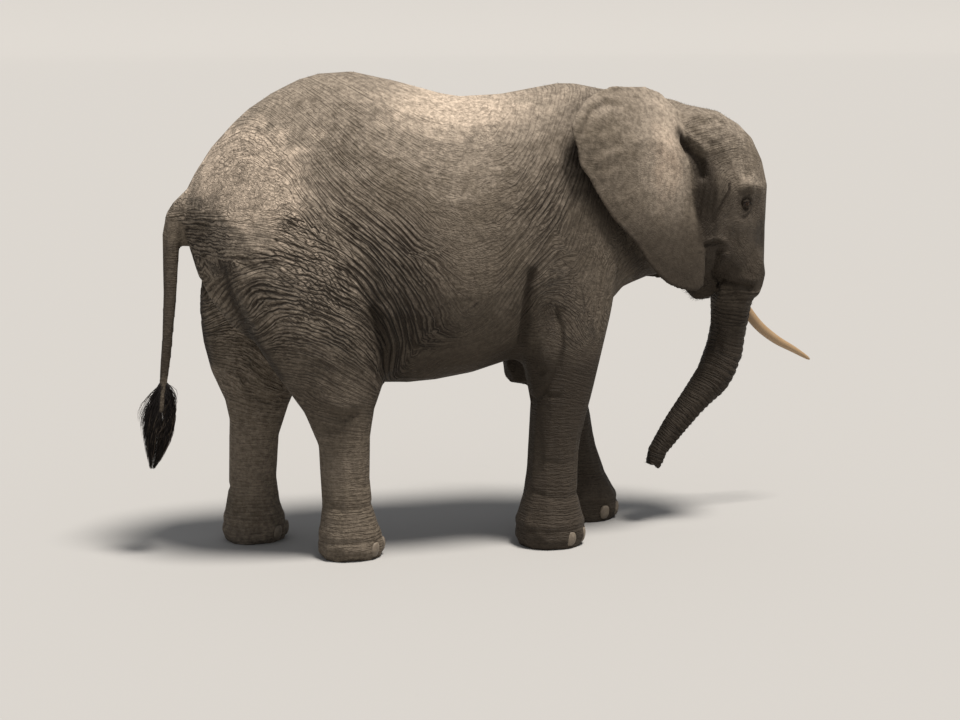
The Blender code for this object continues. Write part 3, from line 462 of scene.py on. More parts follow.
# ---------------------------------------------------------------- the lie of the skin
class Lie:
    """Two fields over the side view that count creases: one across them and one along them."""

    def __init__(self, rows):
        nx, nz = LIE_SIZE
        x = LIE_LOW[0] + LIE_STEP * (np.arange(nx) + 0.5)
        z = LIE_LOW[1] + LIE_STEP * (np.arange(nz) + 0.5)
        gx, gz = np.meshgrid(x, z, indexing="ij")
        table = np.array(rows, float)
        gap = (gx[..., None] - table[:, 0]) ** 2 + (gz[..., None] - table[:, 1]) ** 2
        share = 1 / (gap + LIE_REACH**2) ** 2
        share /= share.sum(-1, keepdims=True)
        slope = np.radians(share @ table[:, 2])
        self.spacing, self.depth = share @ table[:, 3] / 1000, share @ table[:, 4] / 1000
        weight = np.where(gap.min(-1) < LIE_NEAR**2, 1.0, LIE_LOOSE)
        way, cross = (np.cos(slope), np.sin(slope)), (-np.sin(slope), np.cos(slope))
        self.across = self.solved(cross, way, weight)
        self.along = self.solved(way, cross, weight)
        east, north = self.slopes(self.across)
        wanted = np.maximum(np.hypot(east, north), 1.0) * self.spacing[:-1, :-1]
        self.octave = np.pad(LIE_FINER - np.log2(wanted), ((0, 1), (0, 1)), "edge")

    @staticmethod
    def slopes(field):
        east = (field[1:, 1:] + field[1:, :-1] - field[:-1, 1:] - field[:-1, :-1]) / (2 * LIE_STEP)
        north = (field[1:, 1:] + field[:-1, 1:] - field[1:, :-1] - field[:-1, :-1]) / (2 * LIE_STEP)
        return east, north

    def solved(self, run, still, weight):
        """The field that climbs once per spacing on its run and, before all, holds still across it."""

        def gathered(on_run, on_still):
            on_run, on_still = weight * on_run, LIE_HOLD * weight * on_still
            east = (on_run * run[0] + on_still * still[0])[:-1, :-1] / (2 * LIE_STEP)
            north = (on_run * run[1] + on_still * still[1])[:-1, :-1] / (2 * LIE_STEP)
            out = np.zeros(LIE_SIZE)
            out[1:, 1:] += east + north
            out[1:, :-1] += east - north
            out[:-1, 1:] += north - east
            out[:-1, :-1] -= east + north
            return out

        left = gathered(1 / self.spacing, np.zeros(LIE_SIZE))
        field = np.zeros(LIE_SIZE)
        step = left.copy()
        size = first = (left * left).sum()
        for _ in range(2000):
            east, north = (np.pad(slope, ((0, 1), (0, 1))) for slope in self.slopes(step))
            pushed = gathered(east * run[0] + north * run[1], east * still[0] + north * still[1])
            length = size / (step * pushed).sum()
            field += length * step
            left -= length * pushed
            new_size = (left * left).sum()
            if new_size < 1e-9 * first:
                break
            step = left + new_size / size * step
            size = new_size
        return field

    @staticmethod
    def at(grid, flat):
        """A grid's value at points of the side view."""
        i = np.clip((flat[:, 0] - LIE_LOW[0]) / LIE_STEP, 0, LIE_SIZE[0] - 1.001)
        j = np.clip((flat[:, 1] - LIE_LOW[1]) / LIE_STEP, 0, LIE_SIZE[1] - 1.001)
        i0, j0 = i.astype(int), j.astype(int)
        s, t = i - i0, j - j0
        low = grid[i0, j0] * (1 - s) + grid[i0 + 1, j0] * s
        high = grid[i0, j0 + 1] * (1 - s) + grid[i0 + 1, j0 + 1] * s
        return low * (1 - t) + high * t

    def lay(self, flat, y, octave):
        """Each point's place among the creases, across, along and aside, doubled for each octave."""
        across, along = self.at(self.across, flat), self.at(self.along, flat)
        return np.stack([across, along / CELL_STRETCH, y / LAY_ASIDE], 1) * 2.0 ** octave[:, None]


def side_x(points):
    """Where each point lies along the body, with the left legs brought level with the right ones."""
    x, y, z = points.T
    hind = np.interp(z, LEG_SHIFT_Z, HIND_SHIFT)
    front = np.interp(z, LEG_SHIFT_Z, FRONT_SHIFT)
    back_half = 1 - ramp(x, -0.45, -0.05)
    return x + ramp(y, -0.03, 0.03) * (back_half * hind + (1 - back_half) * front)


class Zones:
    """Which part of the animal each point of a mesh belongs to, hard and with soft borders."""

    def __init__(self):
        points, faces, self.zone = [], [], []
        start = 0
        for node in FLESH + EARS:
            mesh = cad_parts[node].data
            mesh.calc_loop_triangles()
            here = points_of(mesh)
            points.append(here)
            for triangle in mesh.loop_triangles:
                faces.append([start + v for v in triangle.vertices])
                self.zone.append(self.of_node(node))
            start += len(here)
        self.tree = BVHTree.FromPolygons(np.vstack(points).tolist(), faces)

    @staticmethod
    def of_node(node):
        for word, zone in (("jaw", "head"), ("lower_leg", "shin"), ("foot", "foot"), ("head", "head"),
                           ("trunk", "trunk"), ("tail", "tail"), ("ear", "ear")):
            if word in node:
                return ZONE[zone]
        return ZONE["body"]

    def hard(self, points):
        nearest = self.tree.find_nearest
        return np.array([self.zone[nearest(p)[2]] for p in points.tolist()])

    @staticmethod
    def soft(hard, links, rounds):
        made = {}
        for i, zone in enumerate(ZONES):
            share = (hard == i).astype(float)
            for _ in range(rounds):
                share = 0.5 * (share + averaged(share, links))
            made[zone] = share
        return made


def wander(points, size, seed):
    """Smooth noise from about -1 to 1 at each point."""
    shift = Vector((seed * 7.31, seed * 3.17, seed * 5.03))
    return np.array([noise.fractal(Vector(p) / size + shift, 1.0, 2.0, 2) for p in points.tolist()])


# ---------------------------------------------------------------- carving the skin
class Carver:
    """The skin's points with what is needed to carve them."""

    def __init__(self, mesh, hard, soft):
        self.mesh = mesh
        self.hard, self.soft = hard, soft
        self.points = points_of(mesh)
        self.normals = normals_of(mesh)
        self.x = side_x(self.points)

    def refresh(self):
        set_points(self.mesh, self.points)
        self.normals = normals_of(self.mesh)

    def push(self, amount, where=slice(None)):
        self.points[where] += amount[:, None] * self.normals[where]

    def near(self, path, reach, side, zones, legs, facing=1):
        """The points a stroke reaches, facing outwards, inwards (-1) or anywhere (0), and their places."""
        x = self.x if legs else self.points[:, 0]
        z = self.points[:, 2]
        found = (x > path[:, 0].min() - reach) & (x < path[:, 0].max() + reach)
        found &= (z > path[:, 1].min() - reach) & (z < path[:, 1].max() + reach)
        found &= self.normals[:, 1] * side * facing > FACING
        found &= self.points[:, 1] * side > 0.0
        found &= np.isin(self.hard, [ZONE[zone] for zone in zones])
        where = np.nonzero(found)[0]
        return where, np.stack([x[where], z[where]], 1)

    def crease(self, path, width, depth, lip, lip_width, zones, sides=(RIGHT, LEFT), fade=0.04, legs=True,
               facing=1):
        """A groove along a path, with a raised lip on the left of the path's way."""
        for side in sides:
            where, flat = self.near(path, 4 * max(width, lip_width), side, zones, legs, facing)
            if not len(where):
                continue
            distance, signed, run = along_path(flat, path)
            shape = -depth * bell(distance, width)
            if lip:
                shape += lip * bell(signed - width - lip_width, lip_width)
            self.push(shape * faded_ends(run, path, fade), where)

    def bulge(self, centre, radii, height, zones, legs=True):
        """A soft mound, or a hollow where the height is negative, over an oval of the side view."""
        for side in (RIGHT, LEFT):
            where, flat = self.near(centre[None], 2.2 * max(radii), side, zones, legs)
            off = (flat - centre) / radii
            self.push(height * np.exp(-(off**2).sum(1)), where)

    def carve(self, rows, start=(0.0, 0.0), **settings):
        """Carves a table's grooves and mounds in turn, counted from a starting place."""
        for zones, *row in rows:
            further = row.pop() if isinstance(row[-1], dict) else {}
            numbers = [np.array(value) / 1000 for value in row]
            if len(numbers) == 3:
                centre, radii, height = numbers
                self.bulge(centre + start, radii, height, zones.split(), **settings)
            else:
                *sizes, path = numbers
                self.crease(path + start, *sizes, zones.split(), **settings, **further)


def eye_offset(dx, dz):
    """A side view place given from the middle of the eye."""
    return (EYE[RIGHT].x + dx, EYE[RIGHT].z + dz)


def carve_cleft(skin):
    """The cleft between the hind legs, seen from behind."""
    x, y, z = skin.points.T
    rear = ramp(-skin.normals[:, 0], 0.0, 0.5) * ramp(-x, 0.85, 1.0)
    rear *= ramp(z, 0.70, 0.85) * (1 - ramp(z, 1.36, 1.50))
    skin.points[:, 0] += 0.11 * rear * bell(y - 0.01, 0.055) * (1 - skin.soft["tail"])


def carve_feet(skin):
    """A cuff of skin round each foot over the nails, and a rounded edge to the sole."""
    z = skin.points[:, 2]
    foot = skin.soft["foot"]
    skin.push(foot * (0.004 * bell(z - 0.118, 0.022) - 0.003 * bell(z - 0.088, 0.010)))
    skin.points[:, 2] = np.where(z < 0.002, 0.0, skin.points[:, 2])


def carve_ears(skin):
    """Sways that move both faces of an ear together, its scalloped edge, and the folds of its surface."""
    ear = skin.soft["ear"]
    radius, angle = ear_place(skin.points)  # the angle is 0 towards the tail, positive up
    rim = ramp(radius, 0.28, 0.50) * ramp(np.cos(angle), -0.1, 0.3)
    fold = np.sin(angle * 13 + 1.6 * np.sin(angle * 4.3) + 1.2 * np.sin(radius * 14))
    sway = 0.010 * np.sin(radius * 8 + angle * 1.5) + 0.0022 * rim * fold
    side = np.sign(skin.points[:, 1])
    skin.points[:, 1] += side * sway * ear * ramp(radius, 0.06, 0.25)
    scallop = 0.0055 * np.sin(angle * 11 + 2.5 * np.sin(angle * 5)) + 0.003 * np.sin(angle * 23)
    outward = np.stack([-np.cos(angle), np.sin(angle)], 1)
    edge = ear * ramp(radius, 0.42, 0.55) * ramp(np.cos(angle), 0.0, 0.4)
    skin.points[:, 0] += outward[:, 0] * scallop * edge
    skin.points[:, 2] += outward[:, 1] * scallop * edge
    # the left ear hangs a little lower
    left = ear * (skin.points[:, 1] > 0)
    skin.points[:, 2] -= EAR_LOWER * left * ramp(skin.points[:, 2], 1.94, 2.13)
    skin.refresh()
    skin.carve(EAR_FOLDS, legs=False)


def carve_trunk(skin):
    """Rings round the trunk, its flat underside, and the two fingers and nostrils of its tip."""
    flat = skin.points[:, [0, 2]]
    trunk = skin.soft["trunk"]
    _, signed, run = along_path(flat, TRUNK_LINE)
    y = skin.points[:, 1]
    front = ramp(signed, -0.05, 0.05)
    ring = np.abs(np.sin(np.pi / 2 * ring_count(run, y))) ** 0.6 - 0.6
    skin.push(trunk * (0.0035 * front + 0.0022) * ring * ramp(run, 0.02, 0.12))
    skin.push(0.026 * trunk * front * bell(run - 0.49, 0.14))
    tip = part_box("trunk_tip")[0]
    centre = Vector((TRUNK_LINE[-1][0], 0, tip.z))
    down = skin.points[:, 2] - centre.z
    near_tip = trunk * (1 - ramp(down, 0.004, 0.05))
    fore = skin.points[:, 0] - centre.x
    # the front finger is longer than the rear one
    skin.points[:, 2] += near_tip * (0.016 - 0.016 * bell(fore - 0.034, 0.016) * bell(y, 0.022))
    skin.points[:, 2] += near_tip * (-0.004 * bell(fore + 0.032, 0.014) * bell(y, 0.022))
    for side in (RIGHT, LEFT):
        hole = bell(np.hypot(fore - 0.002, y - side * 0.015), 0.0095)
        skin.points[:, 2] += near_tip * 0.035 * hole * (skin.normals[:, 2] < 0.2)


def eye_axes(side):
    """The line of sight of an eye, and across it the ways ahead and up."""
    look = Vector((math.sin(EYE_BEARING), side * math.cos(EYE_BEARING), EYE_DROP)).normalized()
    ahead = side * look.cross(Vector((0, 0, 1))).normalized()
    return look, ahead, side * ahead.cross(look)


def set_lids(points):
    """Thick lids over the eyeball, parted by a pointed opening through which the ball shows."""
    for side, centre in EYE.items():
        look, ahead, up = (np.array(axis) for axis in eye_axes(side))
        off = points - centre
        out = off @ look
        u, v = off @ ahead, off @ up + 0.12 * (off @ ahead)
        reach = np.hypot(u, v)
        near = (reach < 0.05) & (out > -0.02)
        u, v, out_near, r = u[near], v[near], out[near], reach[near]
        high = np.where(v > 0, LID_UPPER, LID_LOWER)
        share = ((np.abs(u) / LID_LONG) ** LID_POWER + (np.abs(v) / high) ** LID_POWER) ** (1 / LID_POWER)
        ball = np.sqrt(np.maximum(EYE_RADIUS**2 - r**2, 0.0))
        lid_ball = np.sqrt(np.maximum((EYE_RADIUS + LID_THICK) ** 2 - r**2, 0.0))
        roll = 0.0014 * bell(share - 1.12, 0.10)  # the rounded edge of each lid
        lid = lid_ball + roll
        lid += 0.0016 * bell(share - 1.75, 0.20) * (v > 0) - 0.0030 * bell(share - 1.42, 0.12)
        skin_share = ramp(r, 0.0155, 0.040)
        made = lid * (1 - skin_share) + out_near * skin_share
        inside = 1 - ramp(share, 0.90, 1.02)
        made = made * (1 - inside) + (ball - 0.0045) * inside
        points[near] += (made - out_near)[:, None] * look
    return points


def smooth(shape, verts, share):
    bmesh.ops.smooth_vert(shape, verts=verts, factor=share, use_axis_x=True, use_axis_y=True, use_axis_z=True)


def refined(piece, centres, reaches):
    """Splits the faces round some centres, once for each reach, and evens them."""
    shape = bmesh.new()
    shape.from_mesh(piece.data)
    for reach in reaches:
        edges = []
        for edge in shape.edges:
            middle = (edge.verts[0].co + edge.verts[1].co) / 2
            if min((middle - centre).length for centre in centres) < reach:
                edges.append(edge)
        bmesh.ops.subdivide_edges(shape, edges=edges, cuts=1, use_grid_fill=True, smooth=0.0)
        bmesh.ops.triangulate(shape, faces=[face for face in shape.faces if len(face.verts) > 3])
    for reach in reaches[1:]:
        near = [v for v in shape.verts if min((v.co - centre).length for centre in centres) < reach]
        for _ in range(3):
            smooth(shape, near, 0.5)
    shape.to_mesh(piece.data)
    shape.free()
    piece.data.update()


# ---------------------------------------------------------------- nodes
class Wire:
    """A socket that can stand in a sum: each operator adds its Math node."""

    def __init__(self, graph, socket):
        self.graph, self.socket = graph, socket

    def sum_of(self, operation, other, turned=False):
        return self.graph.maths(operation, *((other, self) if turned else (self, other)))

    __add__, __radd__ = partialmethod(sum_of, "ADD"), partialmethod(sum_of, "ADD", turned=True)
    __sub__, __rsub__ = partialmethod(sum_of, "SUBTRACT"), partialmethod(sum_of, "SUBTRACT", turned=True)
    __mul__, __rmul__ = partialmethod(sum_of, "MULTIPLY"), partialmethod(sum_of, "MULTIPLY", turned=True)
    __pow__ = partialmethod(sum_of, "POWER")


class Graph:
    """A node tree, of a material or of geometry, written by its nodes' types, settings and sockets."""

    def __init__(self, tree):
        self.tree = tree

    def node(self, kind, settings=None, sockets=None, out=0):
        made = self.tree.nodes.new(kind)
        for key, value in (settings or {}).items():
            setattr(made, key, value)
        for key, value in (sockets or {}).items():
            self.feed(made.inputs[key], value)
        if out is None:
            return [Wire(self, socket) for socket in made.outputs]
        return Wire(self, made.outputs[out])

    def feed(self, socket, value):
        if isinstance(value, Wire):
            self.tree.links.new(value.socket, socket)
        elif socket.type == "RGBA" and len(value) == 3:
            socket.default_value = (*value, 1)
        else:
            socket.default_value = value

    def maths(self, operation, *values):
        return self.node("ShaderNodeMath", {"operation": operation}, dict(enumerate(values)))

    def step(self, value, low, high, start=0.0, stop=1.0):
        """A smooth step of a value between low and high."""
        return self.node("ShaderNodeMapRange", {"interpolation_type": "SMOOTHSTEP"},
                         {"Value": value, 1: low, 2: high, 3: start, 4: stop})

    def mixed(self, share, first, second):
        """Two colours mixed by a share."""
        return self.node("ShaderNodeMix", {"data_type": "RGBA"}, {0: share, 6: first, 7: second}, 2)

    def mark(self, name, out="Vector"):
        """What the skin or hair holds under a name."""
        return self.node("ShaderNodeAttribute", {"attribute_name": name}, out=out)

    def place(self):
        return self.node("ShaderNodeTexCoord", out="Object")

    def split(self, vector):
        return self.node("ShaderNodeSeparateXYZ", {}, {0: vector}, None)

    def joined(self, x, y, z=0.0):
        return self.node("ShaderNodeCombineXYZ", {}, {0: x, 1: y, 2: z})

    def vector(self, operation, first, second):
        return self.node("ShaderNodeVectorMath", {"operation": operation}, {0: first, 1: second})

    def scaled(self, vector, scale):
        return self.node("ShaderNodeVectorMath", {"operation": "SCALE"}, {0: vector, "Scale": scale})

    def bump(self, height):
        return self.node("ShaderNodeBump", {}, {"Height": height, "Distance": 1.0, "Strength": 1.0})

    def noise(self, vector, scale, detail=2.0, rough=0.5, out="Fac"):
        return self.node("ShaderNodeTexNoise", {}, {"Vector": vector, "Scale": scale, "Detail": detail,
                                                    "Roughness": rough}, out)

    def cracks(self, vector, scale):
        """Distance to the nearest crack between cells."""
        return self.node("ShaderNodeTexVoronoi", {"feature": "DISTANCE_TO_EDGE"},
                         {"Vector": vector, "Scale": scale})

    def least(self, first, second):
        return self.maths("MINIMUM", first, second)

    def melted(self, first, second):
        """The smaller of two heights, with a soft change from one to the other."""
        return self.maths("SMOOTH_MIN", first, second, MELT)

    def furrows(self, lay, slant, start):
        """0 in a furrow and 1 midway between two; a slant turns them against the lie."""
        x, y, _ = self.split(lay)
        moved = self.vector("ADD", lay, (start, 2 * start, 0))
        phase = x + slant * y + self.noise(moved, 0.9, 2.0, 0.55) * 2.0
        return self.maths("PINGPONG", phase, 0.5) * 2

    def pads(self, lay, crossing):
        """The pads between furrows and the slanting furrows that cross them, where there is crossing."""
        faint = self.step(self.noise(lay, 0.42), 0.46, 0.66)
        here = crossing + self.noise(lay, 0.60, 1.0)
        one = self.furrows(lay, 2.3, 7.0) + self.step(here, 0.75, 1.25, 1.0, 0.22)
        other = self.furrows(lay, -2.9, 3.0) + self.step(here, 0.90, 1.40, 1.0, 0.30)
        return self.melted(self.melted(self.furrows(lay, 0.0, 0.0) + 0.40 * faint, one), other)

    def relief(self, first, second, blend, crossing):
        """The pads of two lies, an octave apart: the second's furrows come in between the first's."""
        one = self.pads(first, crossing) + self.step(blend, 0.45, 0.95)
        other = self.pads(second, crossing) + self.step(blend, 0.15, 0.65, 1.0, 0.0)
        return self.least(self.least(one, other), 1.0)


def surface_of(name):
    """The graph of a new material, and the material."""
    material = bpy.data.materials.new(name)
    material.use_nodes = True
    return Graph(material.node_tree), material


def finished(g, material, **sockets):
    """A material with these values and links on its Principled node."""
    surface = material.node_tree.nodes["Principled BSDF"]
    for key, value in sockets.items():
        g.feed(surface.inputs[key.replace("_", " ")], value)
    return material


def hide_material(tones):
    """Elephant skin: creased pads, a fine net of cracks, dust, dark and pink patches, and painted shade in the
    creases and shaded places, read from the skin.
    """
    g, material = surface_of("elephant_hide")
    place, first = g.place(), g.mark("lay")
    depth, net, blend = g.split(g.mark("relief"))
    # the tint's dark field is mostly painted shade
    dust, pink, dark = g.split(g.mark("tint_and_painted_light"))
    pad = g.relief(first, g.mark("lay_next"), blend, g.mark("crossing", "Fac"))
    thin = g.step(g.cracks(g.scaled(first, 2.3), 1.0), 0.0, 0.30)
    drift = g.vector("SUBTRACT", g.noise(place, 14.0, 3.0, 0.6, "Color"), (0.5, 0.5, 0.5))
    moved = g.vector("ADD", place, g.scaled(drift, 0.016))
    coarse = g.step(g.cracks(moved, 42.0), 0.0, 0.22)
    fine = g.step(g.cracks(moved, 120.0), 0.0, 0.30)
    rough = g.noise(place, 32.0, 5.0, 0.64)
    patchy = g.step(g.noise(place, 9.0), 0.25, 0.60)
    height = (1 - (1 - pad) ** 1.6) * depth * (1 + depth * 220) + thin * g.least(depth * 900, 1.0) * 0.0017
    height = height + coarse * net * patchy + fine * 0.0007 + rough * 0.0034

    mottle = g.noise(place, 5.0, 4.0, 0.62)
    blotch = (g.noise(place, 19.0, 3.0, 0.62) - 0.5) * (0.7 + net * 800)
    deep = g.step(depth, 0.0010, 0.0055)
    # Painted shade deep in the creases, along the thin cracks where the creases run deep, and in the cracks of
    # the net.
    crease_shade = g.step(pad, 0.0, 0.80, 1.0, 0.0) * g.least(depth * depth * 46000, 0.92)
    crease_shade = crease_shade + (1 - thin) * deep * 0.26 + (1 - coarse) * patchy * net * 120
    colour = g.mixed(g.step(mottle, 0.25, 0.78), tones.dark_hide, tones.hide)
    for share, tone in (
        # dust, with painted light on the brow
        (g.step(mottle * 0.45 + dust + blotch, 0.40, 1.20) * 0.85, tones.dust),
        (g.step(pad, 0.45, 1.0) * deep * 0.88, tones.dust),
        (g.step(mottle * 0.3 + dust + blotch * 0.8, 1.00, 1.80) * 0.85, tones.pale_dust),
        (g.step(g.noise(place, 11.0, 3.0, 0.6) * 0.5 + pink, 0.55, 1.2) * 0.75, tones.pink),
        # painted shade in the creases and cracks
        (crease_shade, tones.crease),
        (g.step(g.noise(place, 38.0), 0.62, 0.76) * 0.25, tones.crease),
        (g.step(g.noise(place, 44.0, 4.0, 0.75), 0.34, 0.66, 0.50, 0.0), tones.crease),
        # painted shade from the dark field, with the darker trunk
        (dark, tones.crease),
    ):
        colour = g.mixed(share, colour, tone)
    return finished(g, material, Base_Color=colour, Roughness=0.86 - 0.14 * dark + 0.06 * rough,
                    Normal=g.bump(height), Specular_IOR_Level=0.28)


def eye_material(tones):
    """A brown ring round a black pupil, in a dark wet ball."""
    g, material = surface_of("elephant_eye")
    out, around, _ = g.split(g.mark("gaze"))
    streaks = g.noise(g.joined(around * 14.0, out * 60.0), 1.0)
    iris = g.mixed(g.step(streaks, 0.3, 0.7), tones.eye_dark, tones.eye)
    colour = g.mixed(g.step(out, *PUPIL), (0.004, 0.003, 0.003), iris)
    colour = g.mixed(g.step(out, *IRIS), colour, (0.030, 0.020, 0.016))
    return finished(g, material, Base_Color=colour, Roughness=0.10, Specular_IOR_Level=0.14)


def ivory_material(tones):
    """Ivory with long grain and fine scratches, stained towards the lip."""
    g, material = surface_of("elephant_ivory")
    along, around, _ = g.split(g.mark("run"))
    grain = g.noise(g.joined(along * 3.0, around * 9.0), 6.0, 3.0, 0.6)
    stain = g.noise(g.place(), 16.0, 4.0, 0.6)
    # the ivory tone is partly painted shade
    colour = g.mixed(g.step(grain, 0.3, 0.75), tones.ivory, (0.40, 0.30, 0.19))
    colour = g.mixed(g.step(stain * 0.5 - along + 0.30, 0.2, 0.8) * 0.8, colour, tones.ivory_stain)
    scratch = g.noise(g.joined(along * 1.2, around * 22.0), 9.0)
    return finished(g, material, Base_Color=colour, Roughness=0.32 + 0.25 * stain,
                    Normal=g.bump(grain * 0.0006 + scratch * 0.0005))


def nail_material(tones):
    """Horn with upright grooves and dusty patches, darker at its lower edge."""
    g, material = surface_of("elephant_nail")
    place = g.place()
    x, y, z = g.split(place)
    grooves = g.noise(g.joined(x, y, z * 0.12), 170.0)
    patches = g.noise(place, 45.0, 3.0, 0.6)
    colour = g.mixed(g.step(patches, 0.35, 0.7), tones.nail, (0.22, 0.18, 0.135))
    # darker towards the lower edge
    colour = g.mixed(g.step(z, 0.045, 0.012) * 0.5, colour, (0.12, 0.095, 0.07))
    return finished(g, material, Base_Color=colour, Roughness=0.5 + 0.25 * patches,
                    Normal=g.bump(grooves * 0.0016 + patches * 0.001))


def hair_material(tones):
    """Stiff dark hair, some of it dusty."""
    g, material = surface_of("elephant_hair")
    along, pick, _ = g.split(g.mark("strand"))
    colour = g.mixed(g.step(pick, 0.72, 0.95) * g.step(along, 0.15, 0.6), tones.hair, tones.hair_dusty)
    return finished(g, material, Base_Color=colour, Roughness=0.55 + 0.15 * pick, Specular_IOR_Level=0.2)


# ---------------------------------------------------------------- the skin
def lay_of(points, zone, lies, octaves=None):
    """Two lies for each point, an octave apart, the share of the second one, and the depth of the creases."""
    y = points[:, 1]
    first, second = np.zeros((2, len(points), 3))
    share, depth = np.zeros((2, len(points)))
    for lie, chosen, flat in side_views(points, zone, lies):
        octave = lie.at(lie.octave, flat)
        whole = np.floor(octave) if octaves is None else octaves[chosen]
        first[chosen] = lie.lay(flat, y[chosen], whole)
        second[chosen] = lie.lay(flat, y[chosen], whole + 1)
        share[chosen] = octave - whole
        depth[chosen] = lie.at(lie.depth, flat)
    for name, line, pitch, deep in (("trunk", TRUNK_LINE, TRUNK_RING, TRUNK_DEPTH),
                                    ("tail", TAIL_LINE, TAIL_RING, TAIL_DEPTH)):
        chosen = zone == ZONE[name]
        _, signed, run = along_path(points[chosen][:, [0, 2]], line)
        long = pitch * CELL_STRETCH
        count = ring_count(run, y[chosen]) if name == "trunk" else run / pitch
        first[chosen] = np.stack([count, signed / long + 11, y[chosen] / long], 1)
        depth[chosen] = deep
    chosen = zone == ZONE["ear"]
    radius, angle = ear_place(points[chosen])
    first[chosen] = np.stack([angle * 11, radius / 0.25, y[chosen] / 0.3], 1)
    depth[chosen] = 0.0002 + 0.0005 * ramp(radius, 0.35, 0.55)
    return first, second, share, depth


def ring_count(run, y):
    """How many of the trunk's rings lie above a point; they crowd together towards the tip."""
    waves = 0.35 * np.sin(y * 40 + run * 9) + 0.25 * np.sin(run * 31)
    return run / (0.022 - 0.006 * np.clip(run, 0, 1)) + waves


def side_views(points, zone, lies):
    """The body's and the head's points, each with their lie and side view places."""
    body, head = np.isin(zone, (ZONE["body"], ZONE["shin"], ZONE["foot"])), zone == ZONE["head"]
    yield lies[0], body, np.stack([side_x(points[body]), points[body, 2]], 1)
    yield lies[1], head, points[head][:, [0, 2]]


def ear_place(points):
    """Distance and direction of each point from the root of its ear."""
    low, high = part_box("ear_right")
    off_x = low.x + 0.80 * (high.x - low.x) - points[:, 0]
    off_z = points[:, 2] - low.z - 0.60 * (high.z - low.z)
    return np.hypot(off_x, off_z), np.arctan2(off_z, off_x)


def octaves_of(points, zone, lies):
    """The whole octave in which each point's creases come nearest to their wanted spacing."""
    octaves = np.zeros(len(points))
    for lie, chosen, flat in side_views(points, zone, lies):
        octaves[chosen] = np.floor(lie.at(lie.octave, flat))
    return octaves


def tints_and_painted_light_of(points, normals, soft, wide):
    """Dust, pink and dark over the skin; the dark is mostly painted shade, and the dust holds painted light on
    the brow.
    """
    x, y, z = points.T
    up, flat = normals[:, 2], points[:, [0, 2]]
    ear, trunk, head = soft["ear"], soft["trunk"], soft["head"]
    rump = spot(points, -1.20, 1.72, 0.26, 0.22)
    low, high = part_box("ear_right")
    blush = spot(points, low.x + 0.70 * (high.x - low.x), low.z + 0.62 * (high.z - low.z), 0.15, 0.28)
    outer = ramp(normals[:, 1] * np.sign(y), -0.1, 0.3)

    dust = 0.08 + 0.42 * ramp(up, 0.0, 0.8) + 0.22 * ramp(z, 1.2, 2.0) - 0.30 * ramp(-up, 0.0, 0.6)
    dust += 0.16 * wide
    dust += rump * (1.80 + 1.00 * wander(points, 0.045, 5)) - 0.25 * (1 - ramp(z, 0.25, 1.05))
    dust += 1.2 * spot(points, -0.904, 1.940, 0.034, 0.022) * (y < 0)  # the scar on the back
    dust += ear * (-0.22 * outer - 0.35 * (1 - outer)) + 1.35 * ear * outer * blush - 0.10 * trunk
    # spots of dust, and painted light on the brow
    dust += spots_of("dust", points, soft)

    pink = ear * outer * (0.12 + 0.45 * blush) + 0.10 * rump * (1 - ear)

    # Dark, mostly painted shade: low on the body and on faces turned down, a little over the head and most
    # below the brow, on the lower half of the front legs, less near the ground and on the far hind leg. The
    # trunk is darker all over, partly wet skin and partly painted shade, most under the head; the ear is
    # darker towards its lower part and the tail in its middle. The gland's streak is the skin's own stain.
    dark = (0.26 + 0.16 * ramp(z, 0.85, 1.05)) * trunk + 0.68 * ear * (1 - ramp(z, 1.40, 1.70))
    dark += 0.42 * (1 - ramp(z, 0.8, 1.6)) + 0.20 * ramp(-up, 0.0, 0.9) * (1 - soft["foot"])
    dark += (0.10 + 0.54 * (1 - ramp(z, 1.58, 1.72))) * head + 0.40 * soft["tail"] * (z < 1.45) * (z > 0.84)
    dark += 0.66 * ramp(x, -0.2, 0.0) * (1 - ramp(z, 0.75, 1.05)) - 0.22 * (1 - ramp(z, 0.4, 0.7))
    dark -= 0.36 * (y > 0) * (1 - ramp(x, -0.9, -0.6)) * (1 - ramp(z, 1.0, 1.4))
    dark += spots_of("dark", points, soft)
    streak, _, run = along_path(flat, [eye_offset(*place) for place in STREAK])
    dark += 0.72 * bell(streak, 0.0075) * head * (np.abs(y) > 0.03) * (1 - 0.5 * ramp(run, 0.12, 0.30))
    # painted shade along the mouth's line
    mouth, _, _ = along_path(flat, [eye_offset(*place) for place in MOUTH])
    dark += 0.65 * bell(mouth, 0.012) * (head + trunk)
    # painted shade over the jaw, under the head
    jaw_x, jaw_z = eye_offset(-0.175, -0.340)
    dark += 0.92 * np.exp(-(((x - jaw_x) / 0.075) ** 4) - ((z - jaw_z) / 0.11) ** 4) * head
    from_side = np.stack([side_x(points), z], 1)
    # painted shade along the folds and round the ear
    for zones, width, strength, path in SHADES:
        gap, _, _ = along_path(from_side, np.array(path) / 1000)
        dark += strength * bell(gap, width / 1000) * sum(soft[zone] for zone in zones.split())
    # painted shade round each eye
    for centre in EYE.values():
        dark += 1.05 * bell(np.linalg.norm(points - centre, axis=1), 0.031)
    return np.stack([np.clip(dust, 0, 2.0), np.clip(pink, 0, 1), np.clip(dark, 0, 0.92)], 1)


def spot(points, x, z, width, height):
    """1 at a place of the side view, falling off round it."""
    return np.exp(-(((points[:, 0] - x) / width) ** 2) - ((points[:, 2] - z) / height) ** 2)


def spots_of(field, points, soft):
    """All the spots of one field of the table."""
    total = np.zeros(len(points))
    for name, zone, *shape, strength in SPOTS:
        if name == field:
            total += strength * spot(points, *shape) * (soft[zone] if zone else 1)
    return total


